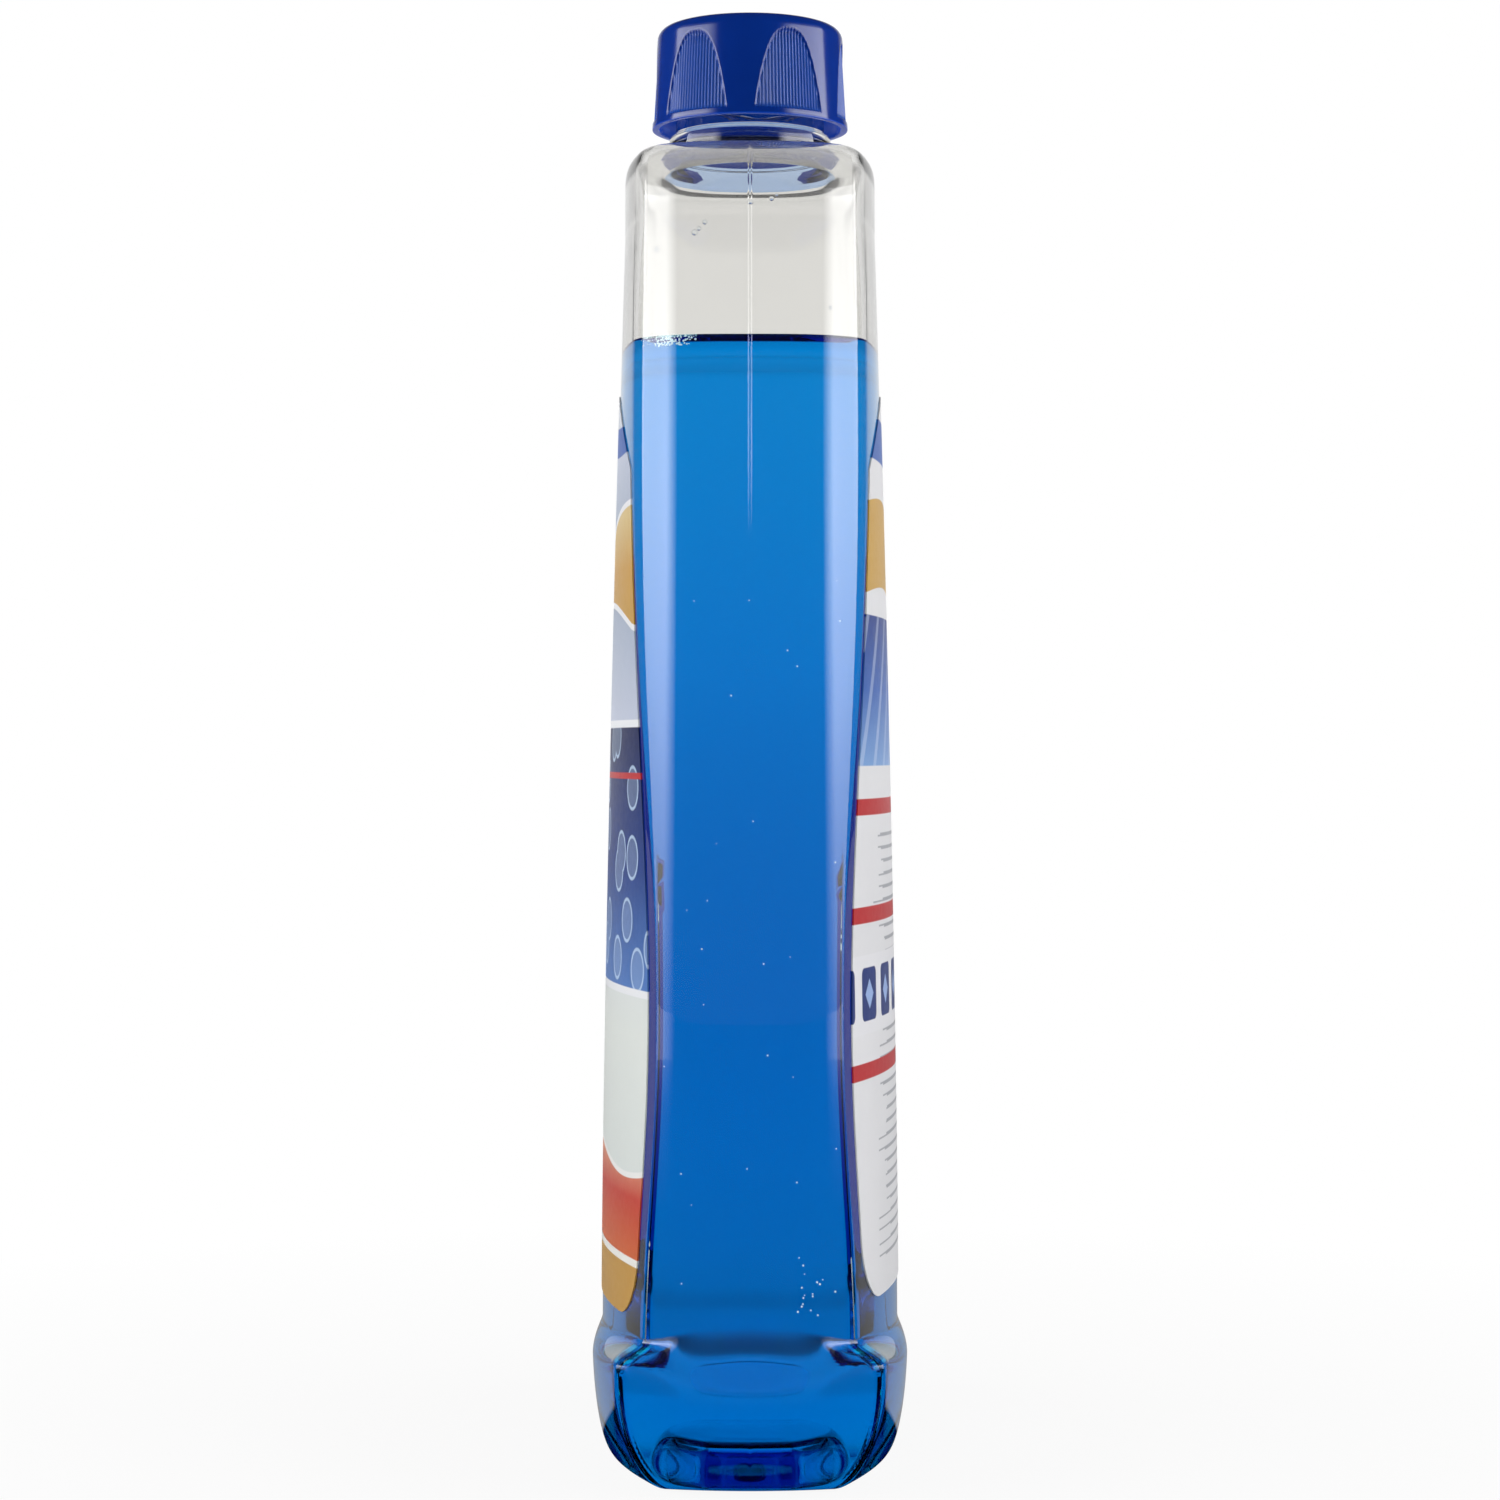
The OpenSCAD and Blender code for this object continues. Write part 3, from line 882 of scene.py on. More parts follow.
@dataclass(frozen=True)
class BottleForm:
    """The blown bottle's sizes in millimetres, as its CAD part has them, and the curves they give."""

    height: float = 215.5
    hip_w: float = 102.0
    hip_z: float = 67.0
    low_w: float = 96.0
    top_w: float = 74.0
    body_d: float = 49.5
    top_d: float = 41.9
    depth_ease: float = 1.45
    face_r: float = 121.0
    top_face_r: float = 156.0
    wall: float = 0.8
    base_wall: float = 1.2
    side_low_w: float = 33.2
    side_waist_w: float = 28.6
    side_waist_z: float = 75.0
    side_top_w: float = 32.8
    side_bulge: float = 4.0
    side_power: float = 3.5
    corner_run: float = 2.5
    top_corner_run: float = 5.5
    shoulder_end_h: float = 14.0
    shoulder_face_h: float = 5.1
    shoulder_power: float = 2.9
    foot_w: float = 101.5
    foot_d: float = 52.8
    foot_h: float = 16.2
    ledge_h: float = 6.1
    corner_ledge_z: float = 20.8
    corner_ledge_h: float = 3.8
    foot_side_w: float = 41.2
    foot_bulge: float = 4.5
    foot_power: float = 2.0
    foot_face_r: float = 200.0
    foot_round: float = 20.4
    end_tuck: float = 12.7
    face_tuck: float = 3.4
    crease_tuck: float = 8.4
    table_bulge: float = 1.1
    table_face_r: float = 68.0
    table_corner_run: float = 6.6
    push_w: float = 58.0
    push_d: float = 30.0
    push_top: float = 0.66
    push_h: float = 6.5
    collar_d: float = 27.2
    face_steps: int = 18
    wet_z: float = 182.1
    corner_steps: int = 12
    side_steps: int = 12

    @property
    def top_z(self) -> float:
        """Height at which the shoulder starts."""
        return self.height - self.shoulder_end_h

    @property
    def quarter_steps(self) -> int:
        """Number of steps round a quarter of a section."""
        return self.face_steps + self.corner_steps + self.side_steps

    @property
    def around(self) -> int:
        """Number of points round a whole section."""
        return 4 * self.quarter_steps

    def half_depth(self, z: float) -> float:
        """Returns half the depth over the middle of the faces at a height."""
        low = self.foot_h + self.ledge_h
        share = np.clip((z - low) / (self.top_z - low), 0, 1)
        return mix(self.body_d, self.top_d, share ** self.depth_ease) / 2

    def half_width(self, z: float) -> float:
        """Returns half the width over the middle of the side panels at a height."""
        rise = self.hip_z - self.corner_ledge_z
        hip = mix(self.low_w, self.hip_w, ease((z - self.corner_ledge_z) / rise))
        return mix(hip, self.top_w, ease((z - self.hip_z) / (self.top_z - self.hip_z))) / 2

    def half_panel(self, z: float) -> float:
        """Returns half the width of the side panel between its creases at a height."""
        low = self.side_waist_z - self.corner_ledge_z
        waist = mix(self.side_low_w, self.side_waist_w, ease((z - self.corner_ledge_z) / low))
        return mix(waist, self.side_top_w, self.upper(z)) / 2

    def upper(self, z: float) -> float:
        """Returns the share of the way from the waist to the shoulder at a height."""
        return ease((z - self.side_waist_z) / (self.top_z - self.side_waist_z))

    def face_radius(self, z: float) -> float:
        """Returns the radius of the wide faces at a height."""
        return mix(self.face_r, self.top_face_r, self.upper(z))

    def panel_drop(self, z: float) -> float:
        """Returns how far the panel's creases lie behind its middle at a height."""
        return self.side_bulge * (2 * self.half_panel(z) / self.side_top_w) ** self.side_power

    def corner(self, z: float) -> float:
        """Returns the run of the rounded corner at a height."""
        return mix(self.corner_run, self.top_corner_run, self.upper(z))

    def quarter(self, half_w: float, half_d: float, crease: float, bulge: float,
                radius: float, run: float, power: float) -> np.ndarray:
        """Draws a quarter of a section, from the middle of a face to the middle of a side panel.

        Args:
            half_w: Half the width.
            half_d: Half the depth.
            crease: Half the width of the side panel.
            bulge: How far the panel's middle stands out of its creases.
            radius: The radius of the face.
            run: The run of the rounded corner.
            power: The flatness of the panel's middle.

        Returns:
            The points as X and Y.
        """
        crease_x = half_w - bulge
        end_x = crease_x - run
        end_y = half_d - end_x ** 2 / (2 * radius)
        fall = end_x / radius
        lean = power * bulge / crease
        reach = (run - lean * (end_y - crease)) / (1 - lean * fall)
        turning = (end_x + reach, end_y - fall * reach)
        corners = [np.array(p) for p in ((end_x, end_y), turning, (crease_x, crease))]
        x = end_x * np.arange(self.face_steps) / self.face_steps
        face = np.stack([x, half_d - x ** 2 / (2 * radius)], axis=1)
        t = np.arange(self.corner_steps)[:, None] / self.corner_steps
        bend = mix(mix(corners[0], corners[1], t), mix(corners[1], corners[2], t), t)
        y = crease * (1 - np.arange(self.side_steps + 1) / self.side_steps)
        panel = np.stack([half_w - bulge * (y / crease) ** power, y], axis=1)
        return np.concatenate([face, bend, panel])

    def body_quarter(self, z: float) -> np.ndarray:
        """Returns a quarter of the body's section at a height."""
        return self.quarter(self.half_width(z), self.half_depth(z), self.half_panel(z), self.panel_drop(z),
                            self.face_radius(z), self.corner(z), self.side_power)

    def foot_quarter(self, z: float) -> np.ndarray:
        """Returns a quarter of the foot's section at a height."""
        tuck = 1 - math.sqrt(1 - max(0.0, 1 - z / self.foot_round) ** 2)
        radius = 1 / mix(1 / self.foot_face_r, 1 / self.table_face_r, tuck)
        return self.quarter(
            self.foot_w / 2 - self.end_tuck * tuck, self.foot_d / 2 - self.face_tuck * tuck,
            self.foot_side_w / 2 - self.crease_tuck * tuck, mix(self.foot_bulge, self.table_bulge, tuck),
            radius, mix(self.corner_run, self.table_corner_run, tuck), self.foot_power)

    def ledge(self, z: float) -> np.ndarray:
        """Works out the share of the body's section, not the foot's, round a quarter.

        Args:
            z: The height.

        Returns:
            The share at each point of the quarter.
        """
        i = np.arange(self.quarter_steps + 1)
        across = np.minimum(1, i / self.face_steps) ** 2
        beside = ease(1.5 * (i - self.face_steps - self.corner_steps) / self.side_steps)
        low = mix(mix(self.foot_h, self.corner_ledge_z, across), self.foot_h - 1, beside)
        rise = mix(mix(self.ledge_h, self.corner_ledge_h, across), 2.2 * self.ledge_h, beside)
        return ease((z - low) / rise)

    def shoulder(self, z: float, rise: float) -> float:
        """Returns the share of the body's section, not the neck's, at a height of the shoulder."""
        below = max(0.0, 1 - (self.height - z) / rise)
        return max(0.0, 1 - below ** self.shoulder_power) ** (1 / self.shoulder_power)

    def section(self, z: float) -> np.ndarray:
        """Draws the whole outside at a height, from the middle of the back towards +X and round.

        Args:
            z: The height.

        Returns:
            The points as X and Y.
        """
        body = mix(self.foot_quarter(z), self.body_quarter(z), self.ledge(z)[:, None])
        turn = np.arange(self.quarter_steps + 1) * math.pi / 2 / self.quarter_steps
        neck = self.collar_d / 2 * np.stack([np.sin(turn), np.cos(turn)], axis=1)
        shares = np.array([self.shoulder(z, self.shoulder_end_h), self.shoulder(z, self.shoulder_face_h)])
        quarter = mix(neck, body, shares)
        there, back = quarter[:-1], quarter[:0:-1]
        return np.concatenate([there, back * (1, -1), there * (-1, -1), back * (-1, 1)])

    def skin(self, z: float, inside: float) -> Loop:
        """Draws the loop that lies a distance inside the outside one of a height.

        Args:
            z: The height of the outside loop.
            inside: The distance inside it.

        Returns:
            The loop, raised over the base and lowered under the ledge and the shoulder.
        """
        flat = self.section(z)
        along = np.roll(flat, -1, axis=0) - np.roll(flat, 1, axis=0)
        across = np.stack([along[:, 1], -along[:, 0]], axis=1)
        flat = flat + inside * across / np.linalg.norm(across, axis=1)[:, None]
        over = self.base_wall + inside - self.wall
        lift = mix(over, -inside, ease((z - 1) / (self.foot_h - 2))) if inside else 0.0
        return np.column_stack([flat, np.full(len(flat), z + lift)])

    def heights(self) -> list[float]:
        """Returns the heights of the loops from the table to the root of the neck."""
        over_ledge = self.foot_h + 2 * self.ledge_h
        foot = [self.foot_h * (1 - math.cos(math.pi / 2 * i / 20)) for i in range(20)]
        ledge = [mix(self.foot_h, over_ledge, i / 28) for i in range(28)]
        body = [mix(over_ledge, self.top_z, i / 60) for i in range(60)]
        shoulder = [mix(self.top_z, self.height, math.sin(math.pi / 2 * i / 28)) for i in range(29)]
        return foot + ledge + sorted([*body, self.wet_z + self.wall]) + shoulder

    def inner_x(self, y: float, z: float) -> float:
        """Returns where the inside of the +X side panel is at a place across and a height."""
        loop = self.skin(z + self.wall, self.wall)
        panel = loop[loop[:, 0] > 0]
        panel = panel[np.argsort(panel[:, 1])]
        return float(np.interp(y, panel[:, 1], panel[:, 0]))

    def push_up(self, lift: float) -> list[Loop]:
        """Draws the dome under the base, from its flat top down to the table.

        Args:
            lift: How far this side of the base lies over the outside.

        Returns:
            The loops in order.
        """
        table = self.section(0.0)
        wide, deep = table[:, 0].max(), table[:, 1].max()
        loops = []
        for share in np.linspace(0, 1, 17):
            size = mix(self.push_top, 1, share)
            scale = (size * self.push_w / 2 / wide, size * self.push_d / 2 / deep)
            level = lift + self.push_h * (1 - ease(share))
            loops.append(np.column_stack([table * scale, np.full(len(table), level)]))
        centre = loops[0].mean(0)
        return [mix(centre, loops[0], share) for share in (0.25, 0.6)] + loops


@dataclass
class Bottle:
    """The clear blown bottle: shell, neck with collar and thread, and the seam of its mould."""

    form: BottleForm = field(default_factory=BottleForm)
    collar_h: float = 4.2
    neck_d: float = 25.0
    bore_d: float = 21.6
    neck_h: float = 19.7
    thread_d: float = 27.4
    flare: tuple[tuple[float, float], ...] = (
        (10.82, 4.6), (10.95, 3.6), (11.3, 2.7), (11.85, 1.9), (12.5, 1.15), (13.15, 0.4), (13.8, -0.3),
        (14.6, -0.75), (15.6, -0.98))
    seam_h: float = 0.2
    seam: tuple[tuple[float, float], ...] = ((0.36, 0.0), (0.26, 0.06), (0.12, 0.86))
    seam_top: float = 214.0

    def neck(self) -> list[Loop]:
        """Draws the neck from the collar over the rim and down the bore.

        Returns:
            The loops in order.
        """
        many = self.form.around
        root = self.form.height
        top = root + self.neck_h
        collar_r, neck_r, bore_r = self.form.collar_d / 2, self.neck_d / 2, self.bore_d / 2
        thread = Thread(neck_r, self.thread_d / 2, 2.2, 1.0, root + 8.8)
        collar_top = root + self.collar_h
        outline = [(collar_r, root + 0.5), (collar_r, root + 2.0), (collar_r, collar_top - 0.5),
                   (collar_r - 0.15, collar_top - 0.15), (collar_r - 0.5, collar_top),
                   (neck_r + 0.25, collar_top + 0.15), (neck_r, collar_top + 0.6)]
        rim = [(neck_r, top - 0.6), (neck_r - 0.18, top - 0.18), (neck_r - 0.6, top),
               (bore_r + 0.3, top), (bore_r + 0.08, top - 0.08), (bore_r, top - 0.3)]
        bore = [(bore_r, top - 5), (bore_r, root + 6)]
        bore += [(r, root + up) for r, up in self.flare]
        screw = np.arange(collar_top + 0.9, top - 0.8, 0.25)
        return ([circle(r, z, many) for r, z in outline]
                + [circle(neck_r + thread.relief(z, many), z, many) for z in screw]
                + [circle(r, z, many) for r, z in rim + bore])

    def seam_rise(self, z: float) -> float:
        """Returns how far the seam stands out at a height: it is low in the lower half."""
        ends = ease((z - 4) / 6) * ease((self.seam_top - z) / 4)
        return float(self.seam_h * ends * mix(0.25, 1.0, ease((z - 115) / 55)))

    def with_seam(self, loops: Sequence[Loop], rise: Sequence[float]) -> list[Loop]:
        """Adds points beside the middle of each side panel and lifts that middle into a seam.

        Args:
            loops: The loops of the whole shell.
            rise: How far the seam stands out at each loop.

        Returns:
            The loops with the seam.
        """
        steps = self.form.quarter_steps
        stack = np.stack(loops)
        columns = []
        for i in range(self.form.around):
            here, after = stack[:, i], stack[:, (i + 1) % self.form.around]
            before = stack[:, i - 1]
            if i % (2 * steps) == steps:
                outwards = np.zeros_like(here)
                outwards[:, 0] = np.sign(here[:, 0]) * np.asarray(rise)
                columns += [self.beside(here, before, share) + outwards * part for share, part in self.seam]
                columns.append(here + outwards)
                columns += [self.beside(here, after, share) + outwards * part
                            for share, part in self.seam[::-1]]
            else:
                columns.append(here)
        return list(np.stack(columns, axis=1))

    @staticmethod
    def beside(middle: np.ndarray, neighbour: np.ndarray, share: float) -> np.ndarray:
        """Returns points a share of the way to a neighbour, on the panel's own curve."""
        shares = np.array([share ** 2, share, share])
        return middle + (neighbour - middle) * shares

    def build(self, dry: bpy.types.Material, wetted: bpy.types.Material,
              flare_painted_reflection: bpy.types.Material) -> bpy.types.Object:
        """Makes the whole shell as one closed mesh.

        Args:
            dry: The finish of the outside and of the inside over the liquid.
            wetted: The finish of the inside that the liquid wets.
            flare_painted_reflection: The finish where the neck flares into the shoulder, tinted blue as a
                painted reflection of the cap.

        Returns:
            The piece.
        """
        heights = self.form.heights()
        base = self.form.push_up(0.0)
        outside = [self.form.skin(z, 0.0) for z in heights]
        under_flare = self.form.height - 0.25
        inside = [self.form.skin(z, self.form.wall) for z in reversed(heights) if z < under_flare]
        floor = self.form.push_up(self.form.base_wall)[::-1]
        neck = self.neck()
        seam = [0.0] * len(base) + [self.seam_rise(z) for z in heights]
        loops = base + outside + neck + inside + floor
        rise = seam + [0.0] * (len(loops) - len(seam))
        start_inside = len(base) + len(outside) + len(neck)
        wet = [1 if k >= start_inside and loop[:, 2].mean() < self.form.wet_z + 0.01 else 0
               for k, loop in enumerate(loops)]
        # The flare's faces take the blue-tinted finish, a painted reflection of the cap.
        for k in range(start_inside - len(self.flare), start_inside - 2):
            wet[k] = 2
        form = Form()
        form.loft(self.with_seam(loops, rise), wet[:-1])
        return form.piece("bottle_shell", [dry, wetted, flare_painted_reflection])


@dataclass
class Cleaner:
    """The blue liquid: it reaches a little into the wall, and climbs it at the surface."""

    form: BottleForm = field(default_factory=BottleForm)
    level: float = 180.2
    into_wall: float = 0.2
    edge: tuple[tuple[float, float], ...] = (
        (0.0, 1.9), (0.05, 1.68), (0.2, 1.45), (0.9, 0.99), (1.6, 0.53), (2.1, 0.28), (2.7, 0.1),
        (3.5, 0.02), (4.5, 0.0))

    def build(self, against_wall: bpy.types.Material, surface: bpy.types.Material) -> bpy.types.Object:
        """Makes the liquid as one closed mesh, whose surface climbs the wall at its edge.

        Args:
            against_wall: The liquid's finish where the bottle holds it.
            surface: The finish of its free surface.

        Returns:
            The piece.
        """
        inside = self.form.wall - self.into_wall
        top = self.level + self.edge[0][1]
        under = [z for z in self.form.heights() if z + 1.5 < top]
        loops = self.form.push_up(self.form.base_wall - self.into_wall)
        loops += [self.form.skin(z, inside) for z in under]
        loops.append(self.form.skin(top + inside, inside))
        held = len(loops) - 1
        for away, climb in self.edge:
            loop = self.form.skin(top + self.form.wall, self.form.wall + away)
            loop[:, 2] = self.level + climb
            loops.append(loop)
        centre = loops[-1].mean(0)
        loops += [mix(centre, loops[-1], share) for share in (0.7, 0.35)]
        form = Form()
        form.loft(loops, [0] * held + [1] * (len(loops) - 1 - held))
        return form.piece("cleaning_liquid_body", [against_wall, surface])


@dataclass(frozen=True)
class BubbleFinish:
    """Bubbles and drops: clear, with a pale skin and a painted glow."""

    name: str
    body: Colour = (0.9, 0.94, 0.97, 1.0)
    pale: Colour = (0.97, 0.98, 1.0, 1.0)
    clear: float = 0.75
    # Strength of the painted glow, standing in for light that the bubbles catch.
    painted_bubble_glow: float = 0.0

    def material(self) -> bpy.types.Material:
        """Builds the finish, which glows with painted light in its own pale colour.

        Returns:
            The material.
        """
        material, paint = new_material(self.name)
        colour = paint.blend(paint.noise(0.8), self.body, self.pale)
        paint.finish(paint.add("ShaderNodeBsdfPrincipled", {}, {
            "Base Color": colour, "Roughness": 0.05, "IOR": 1.33, "Transmission Weight": self.clear,
            "Emission Color": colour, "Emission Strength": self.painted_bubble_glow}))
        return material


@dataclass
class Bubbles:
    """Small round bubbles or drops that cling to the inside of the +X side panel."""

    name: str
    spots: Sequence[tuple[float, float, float]]
    flat: float = 1.0
    form: BottleForm = field(default_factory=BottleForm)
    around: int = 12

    def build(self, finish: BubbleFinish) -> bpy.types.Object:
        """Makes all the bubbles as one mesh of closed spheres.

        Args:
            finish: The bubbles' finish.

        Returns:
            The piece.
        """
        form = Form()
        turns = np.radians(np.linspace(15, 165, 7))
        for y, z, radius in self.spots:
            deep = radius * self.flat
            middle = np.array([self.form.inner_x(y, z) - 0.9 * deep, y, z])
            ball = Form()
            ball.loft([circle(radius * math.sin(t), radius * math.cos(t), self.around) for t in turns])
            points = np.concatenate(ball.points)
            points[-2:, 2] = (radius, -radius)
            form.add(points * (self.flat, 1.0, 1.0) + middle, ball.faces)
        return form.piece(self.name, [finish.material()])

    @classmethod
    def scattered(cls) -> list[tuple["Bubbles", BubbleFinish]]:
        """Lays out the foam at the surface, the specks in the liquid and the drops over it.

        Returns:
            Each group with its finish.
        """
        chance = np.random.default_rng(7)
        foam = [(chance.normal(-12.6, 2.0), chance.uniform(180.4, 181.9), chance.uniform(0.07, 0.19))
                for _ in range(110)]
        specks = [(chance.uniform(-14, 14), chance.uniform(30, 150), chance.uniform(0.07, 0.14))
                  for _ in range(26)]
        specks += [(chance.normal(9.0, 1.6), chance.normal(33.0, 2.6), chance.uniform(0.07, 0.17))
                   for _ in range(16)]
        drops = [(-8.7, 198.3, 0.5), (-8.0, 198.9, 0.35), (-7.1, 199.9, 0.4), (0.1, 203.0, 0.35),
                 (3.4, 203.6, 0.4), (4.2, 204.2, 0.3), (-14.6, 196.0, 0.4), (12.6, 186.5, 0.3)]
        # The foam and the specks glow with painted light; the drops don't.
        return [(cls("surface_bubbles", foam), BubbleFinish("foam_bubbles", clear=0.4, painted_bubble_glow=0.25)),
                (cls("liquid_specks", specks), BubbleFinish("speck_bubbles", clear=0.3, painted_bubble_glow=0.35)),
                (cls("headspace_drops", drops, 0.35), BubbleFinish("clear_drops", clear=1.0))]


@dataclass
class ScrewCap:
    """The blue cap: a drafted skirt with a rounded top, arched fields of fine ribs and a thread."""

    rim_z: float = 221.0
    top_z: float = 238.0
    outer_d: float = 33.0
    top_d: float = 31.2
    edge_r: float = 2.0
    inside_z: float = 236.4
    bore_r: float = 14.15
    mouth_wall: float = 1.2
    mouth_h: float = 1.6
    lip_h: float = 1.0
    fields: int = 6
    field_w: float = 12.5
    field_h: float = 13.3
    arch_power: float = 2.9
    arch_edge: float = 0.45
    field_depth: float = 0.4
    field_turn: float = -35.5
    rib_pitch: float = 2.1
    rib_h: float = 0.16
    thread: Thread = Thread(14.25, 12.95, 1.6, 0.9, 226.415)
    thread_steps: int = 108
    around: int = 1026

    def wall(self, z: float) -> float:
        """Returns the radius of the skirt at a height."""
        edge_z = self.top_z - self.edge_r
        return mix(self.outer_d, self.top_d, (z - self.rim_z) / (edge_z - self.rim_z)) / 2

    def sunk(self, z: float) -> np.ndarray:
        """Works out how deep the arched fields and their ribs lie at a height.

        Args:
            z: The height.

        Returns:
            The depth at each point round the cap.
        """
        around = np.degrees(np.arctan2(*circle(1.0, 0.0, self.around)[:, 1::-1].T))
        spacing = 360 / self.fields
        turned = (around - self.field_turn + spacing / 2) % spacing - spacing / 2
        aside = self.wall(z) * np.sin(np.radians(np.abs(turned)))
        up = z - self.rim_z - self.lip_h
        half_w = self.field_w / 2
        head = self.field_h * (1 - (aside / half_w) ** self.arch_power)
        steep = self.arch_power * self.field_h / half_w * (aside / half_w) ** (self.arch_power - 1)
        inwards = (head - up) / np.hypot(1, steep)
        inside = ease(np.minimum(inwards, up) / self.arch_edge)
        ribs = 0.5 + 0.5 * np.cos(2 * math.pi * turned / self.rib_pitch)
        return inside * (self.field_depth - self.rib_h * ribs)

    def skirt(self) -> list[Loop]:
        """Draws the outside from the rim over the top to its middle.

        Returns:
            The loops in order.
        """
        edge_z = self.top_z - self.edge_r
        low = self.rim_z + self.lip_h
        heights = [self.rim_z + 0.2, self.rim_z + 0.6, low - 0.1]
        heights += list(np.linspace(low, edge_z, 44))
        loops = [circle(self.wall(z) - self.sunk(z), z, self.around) for z in heights]
        for turn in np.radians(np.arange(12, 91, 13)):
            radius = self.top_d / 2 - self.edge_r * (1 - math.cos(turn))
            loops.append(circle(radius, edge_z + self.edge_r * math.sin(turn), self.around))
        return loops + [circle(r, self.top_z, self.around) for r in (11.0, 5.0, 1.0)]

    def inside(self) -> list[Loop]:
        """Draws the inside from the middle of the roof down to the rim.

        Returns:
            The loops in order.
        """
        mouth_r = self.outer_d / 2 - self.mouth_wall
        rows = [(1.0, self.inside_z), (7.0, self.inside_z), (self.bore_r, self.inside_z),
                (self.bore_r, self.rim_z + 2 * self.mouth_h), (mouth_r, self.rim_z + self.mouth_h),
                (mouth_r, self.rim_z + 0.15), (mouth_r + 0.15, self.rim_z),
                (self.outer_d / 2 - 0.2, self.rim_z), (self.outer_d / 2 - 0.05, self.rim_z + 0.06)]
        return [circle(r, z, self.around) for r, z in rows]

    def ridge(self) -> list[Loop]:
        """Draws the ridge inside the cap as loops along its helix.

        Returns:
            The loops in order.
        """
        shape, many = self.thread, self.thread_steps
        root, half_root, half_crest = self.bore_r + 0.3, shape.root_w / 2, shape.crest_w / 2
        loops = []
        for i in range(many + 1):
            turn = 2 * math.pi * shape.turns * i / many
            grown = float(ease(min(i, many - i) / 5))
            crest = mix(shape.wall_r, shape.crest_r, grown)
            corners = [(root, -half_root), (crest, -half_crest), (crest, half_crest), (root, half_root)]
            z = shape.start + shape.pitch * turn / (2 * math.pi)
            loops.append(np.array([(r * math.cos(turn), r * math.sin(turn), z + up) for r, up in corners]))
        return loops

    def build(self, finish: bpy.types.Material, inside_painted_glow: bpy.types.Material) -> bpy.types.Object:
        """Makes the cap.

        Args:
            finish: The cap's finish.
            inside_painted_glow: The finish of its inside, which has a painted glow standing in for the light
                that reaches it through the bottle.

        Returns:
            The piece.
        """
        inside, skirt = self.inside(), self.skirt()
        form = Form()
        form.loft(inside + skirt, [1] * len(inside) + [0] * (len(skirt) - 1))
        ridge = Form()
        ridge.loft(self.ridge())
        same_way = (ridge.volume() > 0) == (form.volume() > 0)
        form.add(np.concatenate(ridge.points), [f if same_way else f[::-1] for f in ridge.faces], 1)
        return form.piece("cap_moulding", [finish, inside_painted_glow], crisp=38.0)


@dataclass
class SealingWad:
    """The white wad under the cap's roof."""

    radius: float = 13.75
    low: float = 235.25
    thick: float = 1.1
    around: int = 128

    def build(self, finish: bpy.types.Material) -> bpy.types.Object:
        """Makes the wad with softly pressed edges.

        Args:
            finish: The wad's finish.

        Returns:
            The piece.
        """
        top = self.low + self.thick
        rows = [(4.0, self.low), (10.6, self.low), (10.9, self.low + 0.04), (12.0, self.low + 0.04),
                (12.2, self.low), (self.radius - 0.15, self.low), (self.radius, self.low + 0.15),
                (self.radius, top - 0.15), (self.radius - 0.15, top), (6.0, top)]
        form = Form()
        form.loft([circle(r, z, self.around) for r, z in rows])
        return form.piece("sealing_wad", [finish], crisp=50.0)


